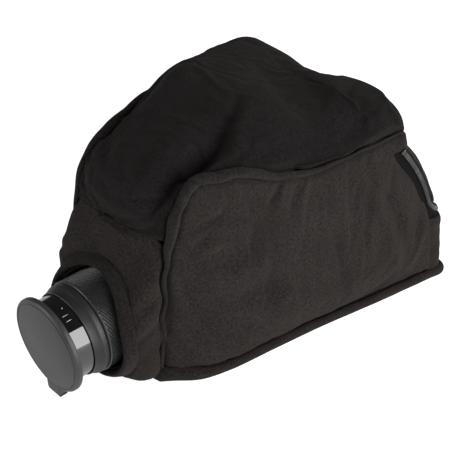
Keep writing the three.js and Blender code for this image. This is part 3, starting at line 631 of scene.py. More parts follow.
def groove(grid, out, *seams):
    """Pull the cloth in along seams, each a path and its radius, so that they stand in sharp folds."""
    for path, radius in seams:
        flat = grid.reshape(-1, 3)
        gap = np.full(len(flat), 1e9)
        size = np.zeros(len(flat))
        for point, r in zip(path, np.broadcast_to(radius, len(path))):
            d = np.linalg.norm(flat - point, axis=1)
            size = np.where(d < gap, r, size)
            gap = np.minimum(gap, d)
        reach = np.maximum(gap - 0.75 * size, 0)
        depth = (0.8 * size + 1.2) * np.exp(-((reach / 1.9) ** 2))
        grid = grid - out * depth.reshape(grid.shape[:2])[..., None]
    return grid


def cross_seam(x):
    """Front edge of the top panel, which the front panel meets; x is -1 at the left, 1 at the right."""
    bow = TOP_BELLY[0] * (1 - np.abs(x) ** 3) ** 0.7
    y = lerp(TOP_EDGE[LEFT][0][0], TOP_EDGE[RIGHT][0][0], (1 + x) / 2)
    return np.stack([40.2 * x, y - 0.93 * bow, FRONT_SEAM_Z + 0.36 * bow], -1)


def base_outline():
    """Foot of the cover on the floor, from the front right corner all the way round."""
    side = EDGES[RIGHT]["base"].at(np.linspace(0, 1, 90))
    rear = rear_point(np.linspace(side_start(BASE_Z), 0, 60)[1:], BASE_Z)
    half = np.concatenate([side, rear])
    mirror = half[::-1][1:] * [-1, 1, 1]
    front = np.linspace(half[0] * [-1, 1, 1], half[0], 30)[1:-1]
    front[:, 1] -= 2.5 * np.sin(np.linspace(0, math.pi, len(front)))
    return np.concatenate([half, mirror, front])


def base_seam():
    """Rolled seam round the foot of the cover, puffed out at the two front corners."""
    path = base_outline()
    corner = bump(np.abs(path[:, 0]), 42, 16) * bump(path[:, 1], -113, 17)
    radius = 3.2 + 0.15 * ripple(path, 30, 71) + 2.9 * corner
    path[:, 0] -= 1.8 * corner * np.sign(path[:, 0])
    path[:, 1] += 2.4 * corner
    path[:, 2] = radius + FLOOR_GAP
    return path, radius


CROSS_SEAM = (cross_seam(np.linspace(-1, 1, 90)), 0.3)
SIDE_SEAM = {side: side_seam(side) for side in (RIGHT, LEFT)}
BASE_SEAM = base_seam()


# ---------------------------------------------------------------- cloth simulation
# Two rows along the edges are sewn fast; the middle rests on the wadding with a weak pin.
SEWN_ROWS, WADDING, DRAPE_FRAMES = 2, 0.1, 14


def drape(grid, out, extra):
    """Let a panel settle from its sewn edges; `extra` is the share of spare cloth that buckles."""
    rows, cols = grid.shape[:2]
    obj = mesh_object("settling", grid.reshape(-1, 3), grid_faces(rows, cols, flip=out < 0), TWILL)
    j, i = np.divmod(np.arange(rows * cols), cols)
    edge = np.minimum(np.minimum(i, cols - 1 - i), np.minimum(j, rows - 1 - j))
    pins = obj.vertex_groups.new(name="sewn")
    pins.add(np.nonzero(edge >= SEWN_ROWS)[0].tolist(), WADDING, "REPLACE")
    pins.add(np.nonzero(edge < SEWN_ROWS)[0].tolist(), 1.0, "REPLACE")
    modifier = obj.modifiers.new("settle", "CLOTH")
    settings = modifier.settings
    settings.quality = 5
    settings.mass = 0.02
    settings.tension_stiffness = settings.compression_stiffness = 15
    settings.shear_stiffness = 5
    settings.bending_stiffness = 0.9
    settings.air_damping = 2
    settings.vertex_group_mass = "sewn"
    settings.pin_stiffness = 1.0
    settings.shrink_min = settings.shrink_max = -extra
    modifier.collision_settings.use_collision = False
    modifier.point_cache.frame_start = 1
    modifier.point_cache.frame_end = DRAPE_FRAMES
    scene = bpy.context.scene
    for frame_number in range(1, DRAPE_FRAMES + 1):
        scene.frame_set(frame_number)
    settled = obj.evaluated_get(bpy.context.evaluated_depsgraph_get()).data
    co = np.zeros(rows * cols * 3)
    settled.vertices.foreach_get("co", co)
    scene.frame_set(1)
    bpy.data.objects.remove(obj, do_unlink=True)
    return co.reshape(rows, cols, 3) / MM


# ---------------------------------------------------------------- cloth panels
def side_panel(side):
    e = EDGES[side]
    u = dense(126)[None, :] + np.zeros((84, 1))
    v = dense(84)[:, None] + np.zeros_like(u)
    t, b = e["top"].at(u), e["base"].at(u)
    f, r = e["front"].at(v), e["rear"].at(1 - v)
    corner = {key: e[key].at(np.array([0.0, 1.0])) for key in ("base", "top")}
    U, V = u[..., None], v[..., None]
    grid = (1 - V) * b + V * t + (1 - U) * f + U * r
    grid -= (1 - U) * (1 - V) * corner["base"][0] + U * (1 - V) * corner["base"][1]
    grid -= (1 - U) * V * corner["top"][0] + U * V * corner["top"][1]
    inside = np.sin(math.pi * u) * np.sin(math.pi * v)
    grid[..., 0] += side * 4 * inside
    out = grid_normals(grid) * side
    height = 1.1 * ripple(grid, 95, 3 + side) * inside**0.5
    height += 0.16 * ripple(grid * [1, 1.4, 0.6], 30, 5 + side) * inside**0.4
    height += 0.03 * ripple(grid, 9, 7 + side)
    for path, width, depth in SIDE_FOLDS[side]:
        height += fold(u * 210, v * 125, path, width, depth)
    grid = grid + out * (height * smooth(inside, 0, 0.12))[..., None]
    grid = drape(grid, side, 0.006)
    out = grid_normals(grid) * side
    rear_lip = (e["rear"].at(np.linspace(0.1, 0.5, 60)), 0.2)
    grid = groove(grid, out, SIDE_SEAM[side], BASE_SEAM, rear_lip)
    piece = cloth_sheet(f"side_cloth_{WORD[side]}", grid, TWILL, out=side)
    belongs(piece, "cover", "twill", f"side_panel_{WORD[side]}")


# Folds on each side panel in millimetres from its lower front corner: path, width, depth.
SIDE_FOLDS = {
    RIGHT: [
        ([(15, 96), (38, 101), (60, 98)], 2.8, -2.4),
        ([(13, 85), (28, 89), (47, 86)], 3.4, -2.0),
        ([(22, 76), (40, 80), (58, 75)], 2.6, -1.5),
        ([(24, 72), (48, 78), (72, 75)], 6, -2.2),
        ([(34, 62), (55, 66), (76, 61)], 6, 2.2),
        ([(38, 44), (62, 51), (90, 46)], 7, -2.4),
        ([(60, 36), (88, 41), (110, 36)], 7, 1.8),
        ([(78, 104), (84, 112), (86, 122)], 3.5, -2.5),
        ([(96, 98), (104, 108), (110, 122)], 5, -2.8),
        ([(188, 10), (184, 60), (176, 112)], 5, -3.4),
        ([(176, 14), (172, 60), (166, 104)], 6, 1.7),
        ([(14, 10), (80, 26), (180, 24)], 12, 3.1),
        ([(120, 60), (150, 84), (168, 90)], 11, -2.2),
        ([(6, 20), (8, 50), (4, 76)], 4, 1.7),
    ],
    LEFT: [
        ([(30, 60), (60, 70), (90, 64)], 8, -2.0),
        ([(120, 30), (150, 60), (160, 100)], 10, -2.2),
        ([(60, 96), (100, 90), (140, 98)], 9, 2.2),
    ],
}

# Folds on the top panel, in millimetres across from the near seam and back along it.
TOP_FOLDS = [
    ([(6, 8), (8, 30), (12, 50), (20, 72), (34, 98)], 7, -13),
    ([(20, 20), (27, 48), (38, 76)], 8, 2.6),
    ([(30, 88), (40, 108), (50, 122)], 5, -2.4),
    ([(24, 92), (36, 114)], 4, 1.2),
    ([(60, 30), (72, 60), (80, 96)], 16, 2.0),
    ([(30, 150), (60, 168), (96, 172)], 14, -2.0),
    ([(90, 60), (100, 90), (104, 120)], 12, -2.0),
    ([(16, 178), (40, 196), (70, 204)], 12, 1.8),
]


def top_panel():
    rows, cols = 150, 96
    t = dense(rows, 0.015)[:, None] + np.zeros((1, cols))
    s = (2 * dense(cols, 0.015) - 1)[None, :] + np.zeros((rows, 1))
    left, right = EDGES[LEFT]["seam"].at(t), EDGES[RIGHT]["seam"].at(t)
    held = np.minimum(t, 1 - TOP_END)
    run = EDGES[LEFT]["seam"].along(held) + EDGES[RIGHT]["seam"].along(held)
    out = unit(np.stack([0 * t, -run[..., 2], run[..., 1]], -1))
    steps = np.linspace(0, 100, len(TOP_BELLY))
    curve = Line([(place, swell, 0) for place, swell in zip(steps, TOP_BELLY)]).points
    curve = curve[np.argsort(curve[:, 0])]
    belly = np.interp(t * 100, curve[:, 0], curve[:, 1])
    width = np.linalg.norm(right - left, axis=-1)
    fullness = 3 + 4 * smooth(t, 0.65, 0.9)
    belly = belly + NEAR_PUFF * smooth(t, 0.7, 0.9) * smooth(s, -0.25, 0.8)
    swell = belly * (1 - np.abs(s) ** fullness) ** 0.7 * np.clip((1 - t) / TOP_END, 0, 1) ** 0.6
    swell += smooth(-s, 0.1, 0.6) * (1 - s**6) * (7 * bump(t, 0.43, 0.12) - 6 * bump(t, 0.2, 0.1))
    grid = left + (right - left) * (0.5 + 0.5 * s * (1 - 1.6 / width))[..., None]
    grid = grid + out * swell[..., None]
    grid[..., 1] += 2.3 * smooth(t, 0.93, 1) * (1 - np.abs(s) ** 9)
    inside = np.clip((1 - s**2) * np.sin(math.pi * np.clip(t, 0.01, 0.99)), 0, 1)
    x, y = (1 - s) * width / 2, t * 235
    height = 1.5 * ripple(grid, 105, 11) * inside**0.5
    height += 0.2 * ripple(grid * [0.7, 1.3, 1], 34, 12) * inside**0.4
    height += 0.03 * ripple(grid, 10, 13)
    for path, fold_width, depth in TOP_FOLDS:
        height += fold(x, y, path, fold_width, depth)
    normals = grid_normals(grid)
    grid = grid + normals * (height * smooth(inside, 0, 0.05))[..., None]
    grid = drape(grid, 1, 0.012)
    grid = groove(grid, grid_normals(grid), SIDE_SEAM[RIGHT], SIDE_SEAM[LEFT], CROSS_SEAM)
    piece = cloth_sheet("top_cloth", grid, TOP_TWILL_PAINTED_SHADE)
    belongs(piece, "cover", "top_twill", "top_panel")


def cuff_lean(angle):
    """How far the cuff leans back over the top of the lens."""
    return 12 * np.maximum(np.sin(angle), 0) ** 2.2


# Radial folds round the lens: angle, width in radians, depth in millimetres.
FRONT_FOLDS = [
    (0.55, 0.10, -1.8), (0.80, 0.12, 1.6), (1.10, 0.09, -1.8), (1.35, 0.12, 1.4),
    (2.10, 0.14, 1.6), (2.45, 0.10, -1.6), (0.12, 0.08, -1.5), (-0.22, 0.12, -2.2),
    (-0.42, 0.10, 1.8), (-0.62, 0.09, -1.8), (3.30, 0.12, -1.2),
]


def front_panel():
    """Cloth between the cuff, at v = 0, and the seams all round it, at v = 1."""
    cols, rows = 240, 46
    angle = circle(cols)[None, :] + np.zeros((rows, 1))
    v = np.linspace(0, 1, rows)[:, None] + np.zeros((1, cols))
    c, s = np.cos(angle), np.sin(angle)
    half, square = 39.4, 11
    tall = np.where(s > 0, FRONT_SEAM_Z - AXIS_Z + 0.6, AXIS_Z - BASE_Z + 0.5)
    reach = (np.abs(c / half) ** square + np.abs(s / tall) ** square) ** (-1 / square)
    z = AXIS_Z + reach * s
    high = smooth(z, 30, FRONT_SEAM_Z)
    across = np.clip(reach * c / half, -1, 1)
    foot = lerp(-119.3, -117.4, (1 + across) / 2)
    head = cross_seam(across)
    rise = (head[..., 2] - FRONT_SEAM_Z) * smooth(z, 70, FRONT_SEAM_Z)
    edge = np.stack([reach * c, lerp(foot, head[..., 1], high), z + rise], -1)
    port = around(CUFF_R, CUFF_Y + cuff_lean(angle), angle)
    grid = lerp(port, edge, v[..., None])
    radial = np.stack([c, 0 * c, s], -1)
    grid = grid - radial * (1.7 * np.exp(-((v / 0.08) ** 2)))[..., None]
    out = -grid_normals(grid, wrap=True)
    arch = np.sin(math.pi * v)
    height = 0.9 * ripple(grid, 44, 21) + 0.15 * ripple(grid, 14, 22)
    height += (2.2 * (1 - 0.6 * np.maximum(s, 0)) + 7.5 * bump(angle, 2.48, 0.45)) * arch
    for at, width, depth in FRONT_FOLDS:
        height += depth * bump(angle, at + 0.16 * (v - 0.5), width) * arch**0.7
    grid = grid + out * (height * smooth(np.minimum(v, 1 - v), 0, 0.12))[..., None]
    out = -grid_normals(grid, wrap=True)
    grid = groove(grid, out, SIDE_SEAM[RIGHT], SIDE_SEAM[LEFT], CROSS_SEAM, BASE_SEAM)
    piece = cloth_sheet("front_cloth", grid, TWILL, out=-1, wrap=True)
    belongs(piece, "cover", "twill", "front_panel")


def column_run(z, end):
    """Distances round from the middle for every column of a rear panel."""
    flat = rear_edge(z)[0] - CORNER_R
    inner = np.linspace(0, 1, 34)[None, :] * flat[:, None]
    corner = flat[:, None] + np.linspace(0, 1, 15)[None, 1:] * (end - flat)[:, None]
    half = np.concatenate([inner, corner], 1)
    return np.concatenate([-half[:, :0:-1], half], 1)


def rear_panel():
    z = np.r_[BASE_Z - 1, np.linspace(BASE_Z + 1, 52.2, 34)]
    a = column_run(z, side_start(z) + 1.5)
    zz = z[:, None] + np.zeros_like(a)
    grid = rear_point(a, zz)
    out = -grid_normals(grid)
    up = (zz - BASE_Z) / 49
    height = 0.8 * ripple(grid, 50, 31) + 0.25 * ripple(grid, 15, 32)
    height += fold(a, zz, [(-60, 10), (-20, 26), (10, 22)], 8, 1.5)
    height += fold(a, zz, [(20, 36), (50, 24), (84, 30)], 7, -1.5)
    height = height * smooth(up, 0, 0.15) * smooth(1 - up, 0, 0.12)
    height -= 0.8 * smooth(np.abs(a) - side_start(zz), -3.5, 0)
    grid = grid + out * height[..., None]
    piece = cloth_sheet("rear_cloth", grid, TWILL, out=-1)
    belongs(piece, "cover", "twill", "rear_panel")


def rear_flap():
    bottom = ZIP_BOTTOM_Z + TAPE_OUT * 0.9
    z = np.linspace(HINGE_Z + 1.5, bottom, 56)
    bend = ZIP_BEND_R - 1
    below = np.maximum(bend - (z - bottom), 0)
    cut = bend - np.sqrt(bend**2 - below**2)
    a = column_run(z, leg_at(z) - TAPE_OUT * 1.16 - cut)
    zz = z[:, None] + np.zeros_like(a)
    grid = rear_point(a, np.minimum(zz, HINGE_Z + 1.5))
    out = grid_normals(grid)
    down = (HINGE_Z - zz) / (HINGE_Z - bottom)
    height = 1.0 * ripple(grid, 60, 41) + 0.3 * ripple(grid, 17, 42)
    height += fold(a, zz, [(-70, 96), (-30, 84), (0, 88)], 9, -1.6)
    height += fold(a, zz, [(10, 70), (40, 82), (66, 78)], 9, 1.6)
    height = height * smooth(down, 0, 0.15) * smooth(1 - down, 0, 0.15) - 0.3
    grid = grid + out * height[..., None]
    bend_with_flap(cloth_sheet("flap_cloth", grid, TWILL), "rear_flap")


def gusset(side):
    """Small three-cornered piece that closes the cover above the end of the zip."""
    z = HINGE_Z - 1.5
    start = rear_edge(z)[0] - CORNER_R + 4.5
    u = np.linspace(0, 1, 26)
    v = np.linspace(0.04, 1, 18)[:, None]
    foot = rear_point(side * lerp(start, side_start(z), u), z)
    line = EDGES[side]["rear"]
    rim = line.at(v * np.interp(-z, -line.points[:, 2], line.run / line.length))
    peak = line.at(0.0)
    straight = lerp(peak, foot, v[..., None])
    grid = straight + (rim - straight[:, -1:]) * (u**3)[:, None]
    normals = grid_normals(grid) * side
    tucked = smooth(u, 0.75, 1)
    height = 0.9 * np.sin(math.pi * v) * np.sin(math.pi * u) - 0.2 - 0.9 * tucked
    grid = grid + normals * height[..., None] + tucked[:, None] * [0, -2.4, -0.6]
    piece = cloth_sheet(f"gusset_cloth_{WORD[side]}", grid, TWILL, out=side, thickness=1.0)
    belongs(piece, "cover", "twill", f"zip_gusset_{WORD[side]}")


def seam_roll(side):
    piece = rope(f"seam_roll_cloth_{WORD[side]}", *SIDE_SEAM[side], SEAM_CLOTH, up=X)
    belongs(piece, "cover", "seam_cloth", f"seam_roll_{WORD[side]}")


def base_roll():
    piece = rope("base_roll_cloth", *BASE_SEAM, TWILL, sides=18, closed=True)
    belongs(piece, "cover", "twill", "base_welt")


def cuff_wave(angle):
    """The hem is not quite round."""
    return 1 + 0.010 * np.cos(3 * angle + 1) + 0.008 * np.cos(5 * angle + 0.4)


def lens_cuff():
    """Hem round the lens, with its row of stitches."""
    profile = [
        (36.8, -134.4), (38.6, -134.6), (39.9, -135.4), (40.3, -136.6), (40.0, -138.0),
        (39.2, -139.8), (38.4, -141.4), (37.2, -142.9), (35.9, -143.4), (34.9, -142.8),
        (34.3, -141.2), (34.5, -138.6), (35.2, -136.2), (36.8, -134.4),
    ]
    piece = turned("cuff_cloth", profile, SEAM_CLOTH, smooth_angle=80, wobble=cuff_wave, lean=cuff_lean)
    belongs(piece, "cover", "seam_cloth", "lens_cuff")
    angle = np.linspace(0, 2 * math.pi, 240)
    ring = around(40.15 * cuff_wave(angle), -137.4 + cuff_lean(angle), angle)
    out = np.stack([np.cos(angle), -0.3 + 0 * angle, np.sin(angle)], -1)
    stitch_row("cuff_stitches", ring, out, "cover", 2.8)


def cuff_elastic():
    """Gathered elastic inside the cuff, ribbed all the way round."""
    angle = circle(720)
    gather = 0.35 * np.abs(np.sin(angle * 45))
    path = around(33.4, -137.5 + cuff_lean(angle), angle)
    piece = rope("elastic_band", path, 1.0 + gather, ELASTIC, sides=10, squash=2.0, up=Y, closed=True)
    belongs(piece, "cover", "elastic", "cuff_elastic")


# ---------------------------------------------------------------- zip
def zip_line():
    """Middle of the zip as (distance round the rear, z): up both sides and along the bottom."""
    bend_z = ZIP_BOTTOM_Z + ZIP_BEND_R
    centre = leg_at(bend_z) - ZIP_BEND_R
    z = np.linspace(ZIP_TOP_Z + 3, bend_z, 60)
    leg = np.stack([leg_at(z), z], -1)
    angle = np.linspace(0, math.pi / 2, 24)[1:]
    bend = np.stack([centre + ZIP_BEND_R * np.cos(angle), bend_z - ZIP_BEND_R * np.sin(angle)], -1)
    run = np.stack([np.linspace(centre, 0, 60)[1:], np.full(59, ZIP_BOTTOM_Z)], -1)
    half = np.concatenate([leg, bend, run])
    return np.concatenate([half, half[::-1][1:] * [-1, 1]])


ZIP_LINE = zip_line()
ZIP_ACROSS = unit(np.gradient(ZIP_LINE, axis=0)) @ np.array([[0, 1.0], [-1.0, 0]])


def beside_zip(offset, lift=0.0):
    """Line beside the zip, on the side panels where offset is positive, else on the flap."""
    at = ZIP_LINE + ZIP_ACROSS * offset
    point, out = rear_point(at[:, 0], at[:, 1]), rear_normal(at[:, 0], at[:, 1])
    return point + out * lift, out


ZIP_PATH, ZIP_OUT = beside_zip(0.0)
ZIP_ALONG = unit(np.gradient(ZIP_PATH, axis=0))
ZIP_SIDE = unit(np.cross(ZIP_ALONG, ZIP_OUT))
if np.sum((beside_zip(1.0)[0] - ZIP_PATH) * ZIP_SIDE) < 0:
    ZIP_SIDE = -ZIP_SIDE


def zip_tape(name, offsets):
    """Ribbed tape beside the coils."""
    grid = np.stack([beside_zip(o, -0.35 - 0.12 * abs(o))[0] for o in offsets])
    out = 1 if np.sum(grid_normals(grid) * ZIP_OUT) > 0 else -1
    return cloth_sheet(name, grid, TAPE, out=out, thickness=0.5)


def zip_coil(name, to_side):
    """Row of teeth on one side of the middle of the zip."""
    run = run_of(ZIP_PATH)
    teeth = []
    for d in np.arange(2.5, run[-1] - 2.5, 1.15):
        along, out, side = (unit(read_line(line, run, d)) for line in (ZIP_ALONG, ZIP_OUT, ZIP_SIDE))
        centre = read_line(ZIP_PATH, run, d) + to_side * (side * 0.75 + along * 0.28) + out * 0.5
        teeth.append(pill(centre, side, along, out, 0.95, 0.36, 0.6, rings=6))
    return joined(name, teeth, COIL_PAINTED_HIGHLIGHT, 60)


def zip_halves():
    belongs(zip_tape("tape_cover", np.linspace(0.4, 12.8, 22)), "cover", "zip_tape", "zip_tape_cover")
    bend_with_flap(zip_tape("tape_flap", -np.linspace(0.4, 5.8, 12)), "zip_tape_flap")
    belongs(zip_coil("coil_cover", 1), "cover", "zip_nylon", "zip_coil_cover")
    bend_with_flap(zip_coil("coil_flap", -1), "zip_coil_flap")


def rounded(obj, radius, segments):
    """Round the sharp edges."""
    modifier = obj.modifiers.new("rounded", "BEVEL")
    modifier.width = radius * MM
    modifier.segments = segments
    modifier.limit_method = "ANGLE"
    modifier.angle_limit = math.radians(30)


def block(name, size, centre, material, radius, segments=3):
    """Rounded block."""
    signs = [(x, y, z) for x in (-1, 1) for y in (-1, 1) for z in (-1, 1)]
    faces = [(0, 1, 3, 2), (4, 6, 7, 5), (0, 4, 5, 1), (2, 3, 7, 6), (0, 2, 6, 4), (1, 5, 7, 3)]
    verts = np.array(signs) * np.array(size) / 2 + centre
    obj = mesh_object(name, verts, faces, material, smooth_angle=30)
    rounded(obj, radius, segments)
    return obj


SLOPE_OUT = unit(np.array([0, HINGE_Z - KINK_Z, KINK_Y - HINGE_Y], float))
SLOPE_DOWN = -np.cross(X, SLOPE_OUT)


def on_run(part, x):
    """Move a part from (down the slope, to the left, out of the cloth) onto the bottom of the zip."""
    basis = np.array([SLOPE_DOWN, -X, SLOPE_OUT])
    return rear_point(x, ZIP_BOTTOM_Z) + part[0] @ basis, part[1]


def slab(length, width, low, high, count=28, power=2.6, x=0, y=0):
    """Oval plate with its rim chamfered a little; a higher power gives squarer ends."""
    angle = circle(count)
    c, s = np.cos(angle), np.sin(angle)
    rim = np.stack([
        length / 2 * np.sign(c) * np.abs(c) ** (2 / power),
        width / 2 * np.sign(s) * np.abs(s) ** (2 / power)], -1)
    layers = [(0.94, low), (1, low + 0.2), (1, high - 0.2), (0.94, high)]
    verts = np.concatenate([np.c_[rim * size + [x, y], np.full(count, z)] for size, z in layers])
    return verts, tube_faces(4, count)


def cross_rings(sizes, count):
    """Circles round the hinge pin of a pull, from (radius, y) pairs."""
    angle = circle(count)
    c, s = np.cos(angle), np.sin(angle)
    return np.concatenate([
        np.stack([r * c, np.full(count, y), PIN_HEIGHT + r * s], -1) for r, y in sizes])


def zip_hardware(side):
    """Slider, pull and end stop of one side."""
    x = side * SLIDER_X
    slider = [slab(7.2, 9.0, 1.5, 3.1), slab(3.4, 5.0, 0.3, 1.6)]
    slider += [slab(4.2, 1.2, 3.0, 6.6, 20, y=y) for y in (-2.9, 2.9)]
    slider.append((cross_rings([(PIN_R, -3.3), (PIN_R, 3.3)], 16), tube_faces(2, 16, flip=True)))
    piece = joined(f"slider_metal_{WORD[side]}", [on_run(p, x) for p in slider], ZIP_METAL, 50)
    belongs(piece, f"slider_{WORD[side]}", "zip_metal", f"zip_slider_{WORD[side]}")

    h = PIN_HEIGHT
    eye = [(EYE_IN, -EYE_HALF), (EYE_OUT, -EYE_HALF), (EYE_OUT, EYE_HALF), (EYE_IN, EYE_HALF)]
    pull = [
        (cross_rings(eye, 28), grid_faces(4, 28, wrap=True, closed=True, flip=True)),
        slab(9, 2.6, h - 0.55, h + 0.55, 20, x=5.4),
        slab(16, 4.4, h - 0.7, h + 0.7, 32, 4, x=15.2),
        slab(9, 1.8, h - 0.85, h + 0.85, 24, 3, x=15.6),
    ]
    piece = joined(f"pull_metal_{WORD[side]}", [on_run(p, x) for p in pull], ZIP_METAL, 50)
    belongs(piece, f"pull_{WORD[side]}", "zip_metal", f"zip_pull_{WORD[side]}")

    z = ZIP_TOP_Z + 2
    end = rear_point(side * leg_at(z), z)
    out = rear_normal(side * leg_at(z), z)
    up = unit(rear_point(side * leg_at(z + 1), z + 1) - end)
    stop = pill(end + out * 0.7, np.cross(up, out), up, out, 2.4, 1.1, 0.9, rings=9, sides=14)
    piece = joined(f"stop_metal_{WORD[side]}", [stop], ZIP_METAL, 60)
    belongs(piece, "cover", "zip_metal", f"zip_stop_{WORD[side]}")


# ---------------------------------------------------------------- lens
def lens_cap():
    """Push-on cap with a ribbed pull tab and a felt lining."""
    disc = [
        (0, -172.5), (27.6, -172.5), (27.9, -172.35), (28.1, -172.0), (28.5, -172.0), (28.8, -172.3),
        (29.2, -172.4), (29.9, -172.2), (30.6, -171.7), (31.0, -170.9), (31.0, -169.0), (30.8, -168.5),
        (30.4, -168.4), (28.9, -168.4), (28.7, -168.7), (28.7, -170.8), (0, -170.8),
    ]
    cap = turned("cap_shell", disc, CAP_PLASTIC, segments=220, smooth_angle=28)
    belongs(cap, "cap", "cap_plastic", "lens_cap")
    tab = block("cap_tab", (12.5, 6.8, 7.0), (0, -168.6, AXIS_Z - 33.2), CAP_PLASTIC, 0.7)
    belongs(tab, "cap", "cap_plastic")
    grip = block("cap_grip", (12.3, 5.6, 1.4), (0, -168.8, AXIS_Z - 37.5), GRIP_RUBBER, 0.4)
    belongs(grip, "cap", "grip_rubber", "cap_tab_grip")
    for i in range(5):
        place = (0, -171.0 + 1.1 * i, AXIS_Z - 38.3)
        belongs(block(f"cap_rib_{i}", (12.0, 0.45, 0.5), place, GRIP_RUBBER, 0.15, 2), "cap", "grip_rubber")
    lining = [(0, -170.6), (23.4, -170.6), (23.7, -170.2), (23.4, -169.7), (0, -169.7)]
    belongs(turned("cap_lining", lining, FELT), "cap", "felt", "cap_felt")


def domed(radius, crown, drop, back, count):
    """Outline of a lens element that bulges to the front."""
    arc = [(radius * f, crown + drop * f * f) for f in np.linspace(0, 1, count)]
    return arc + [(radius, back), (0, back)]


def tube(inner, outer, front, back, chamfer=0.2):
    """Outline of a plain ring with chamfered outer edges."""
    return [
        (inner, front + chamfer), (inner + chamfer, front), (outer - chamfer, front),
        (outer, front + chamfer), (outer, back - chamfer), (outer - chamfer, back),
        (inner, back), (inner, front + chamfer),
    ]


def iris_blade(turn, y):
    """One thin curved blade, turned round the lens axis."""
    outline = np.array([(9.5, -7), (11, 4), (20, 13), (23.6, 4), (23.6, -6), (17, -10)], float)
    c, s = math.cos(turn), math.sin(turn)
    xz = outline @ [[c, s], [-s, c]] + [0, AXIS_Z]
    verts = np.concatenate([np.insert(xz, 1, y + thick, axis=1) for thick in (0, 0.06)])
    return verts, tube_faces(2, len(outline))


def barrel_mark(turn, y, length, width=0.16, height=0.05, rings=5, sides=8):
    """White stroke or dot on the barrel, at an angle round from +X."""
    out = np.array([math.cos(turn), 0, math.sin(turn)])
    centre = out * BARREL_R + [0, y, AXIS_Z]
    return pill(centre, Y, np.cross(out, Y), out, length, width, height, rings, sides)


def barrel():
    """Front tube of the lens with its glass, iris and marks."""
    shell = [
        (24.5, -170.0), (24.8, -170.3), (28.0, -170.3), (28.3, -170.0), (28.3, -169.2), (27.4, -168.6),
        (26.6, -168.2), (26.5, -167.8), (26.5, -158.0), (26.5, -128.2), (26.3, -128.0), (24.6, -128.0),
        (24.5, -128.3), (24.5, -170.0),
    ]
    belongs(turned("barrel_tube", shell, GLOSS, segments=220), "barrel", "gloss_black", "inner_barrel")
    ring = [
        (22.4, -165.8), (22.7, -166.1), (23.9, -166.1), (24.1, -165.8), (24.1, -163.6), (22.6, -163.4),
        (22.4, -165.8),
    ]
    belongs(turned("retainer", ring, BLACK_METAL), "barrel", "black_metal", "retaining_ring")
    glass = turned("front_glass", domed(24.1, -165.1, 2.4, -158, 16), GLASS)
    belongs(glass, "barrel", "lens_glass", "front_element")
    blades = [iris_blade(i * math.pi / 4, -139.9 + 0.08 * i) for i in range(8)]
    belongs(joined("iris_blades", blades, BLACK_METAL, 30), "barrel", "black_metal", "iris_plate")
    marks = [barrel_mark(turn, -162.6, 2.2) for turn in (1.16, 1.02)]
    marks.append(barrel_mark(1.36, -161.0, 0.45, 0.45, 0.06, 7, 12))
    belongs(joined("barrel_marks", marks, MARK), "barrel", None)


def scallops(angle):
    """Grip of the iris ring."""
    return 1 - 0.028 * np.maximum(np.sin(angle * 14), 0) ** 2


def sleeve():
    """Fixed tube of the lens, its iris ring, mount and rear end."""
    shell = [
        (26.8, -156.8), (27.0, -157.0), (27.4, -157.0), (27.65, -156.8), (27.7, -155.4), (28.3, -154.2),
        (28.5, -153.2), (29.4, -151.8), (29.7, -151.2), (29.7, -148.5), (29.5, -148.1), (28.2, -148.1),
        (28.0, -147.8), (28.0, -100.2), (27.8, -100.0), (26.9, -100.0), (26.8, -100.3), (26.8, -156.8),
    ]
    belongs(turned("sleeve_shell", shell, SATIN_GREY, segments=220), "cover", "satin_grey", "outer_sleeve")
    grip = [
        (28.4, -117.4), (28.6, -117.6), (31.2, -117.6), (31.4, -117.3), (31.4, -110.3), (31.1, -110.0),
        (28.5, -110.0), (28.4, -117.4),
    ]
    iris = turned("iris_grip", grip, BLACK_METAL, segments=336, wobble=scallops)
    belongs(iris, "iris_control", "black_metal", "iris_ring")
    mount = [
        (28.4, -109.2), (28.6, -109.4), (32.2, -109.4), (33.0, -108.4), (33.0, -96.0), (32.4, -95.4),
        (28.4, -95.4), (28.4, -109.2),
    ]
    belongs(turned("mount_flange", mount, MOUNT_METAL), "cover", "bright_metal", "mount_ring")
    rear = turned("rear_tube", tube(21, 24, -99.6, -76), BLACK_METAL)
    belongs(rear, "cover", "black_metal", "rear_barrel")
    glass = turned("rear_glass", domed(20.6, -86, 2.0, -79, 14), GLASS)
    belongs(glass, "cover", "lens_glass", "rear_element")


def focus_ring():
    """Diamond knurled ring with one plain stretch, cut into the metal."""
    cols, rows = 900, 110
    angle = circle(cols)
    turn, y = np.meshgrid(angle, np.linspace(-146.7, -118.7, rows))
    lines = turn * KNURL_COUNT / (2 * math.pi)
    first, second = (np.abs((lines + y * rise) % 1 - 0.5) * 2 for rise in (KNURL_RISE, -KNURL_RISE))
    cut = KNURL_DEEP * (1 - smooth(first, 0.0, 0.55)) + 0.16 * (1 - smooth(second, 0.0, 0.3))
    from_plain = np.abs((turn - PLAIN_AT + math.pi) % (2 * math.pi) - math.pi)
    knurled = smooth(from_plain, PLAIN_HALF, PLAIN_HALF + 0.04)
    band = smooth(y, -146.4, -145.6) * (1 - smooth(y, -119.6, -118.9))
    radius = KNURL_R - (cut * knurled + 0.25 * (1 - knurled)) * band
    front = [around(r, y, angle) for r, y in ((28.4, -147.0), (28.6, -147.3), (29.9, -147.3))]
    back = [around(r, y, angle) for r, y in ((29.9, -118.3), (28.6, -118.3), (28.4, -118.6))]
    verts = np.concatenate([front, around(radius, y, turn), back])
    faces = grid_faces(len(verts), cols, wrap=True, closed=True)
    ring = mesh_object("knurled_ring", verts.reshape(-1, 3), faces, KNURL, None, 25)
    belongs(ring, "focus", "black_metal", "focus_ring")


# ---------------------------------------------------------------- camera inside
def dress(name, material, radius):
    """Keep a CAD part, with rounded edges and its own finish."""
    obj = NODES[name]
    obj.data.materials.clear()
    obj.data.materials.append(material)
    rounded(obj, radius, 2)


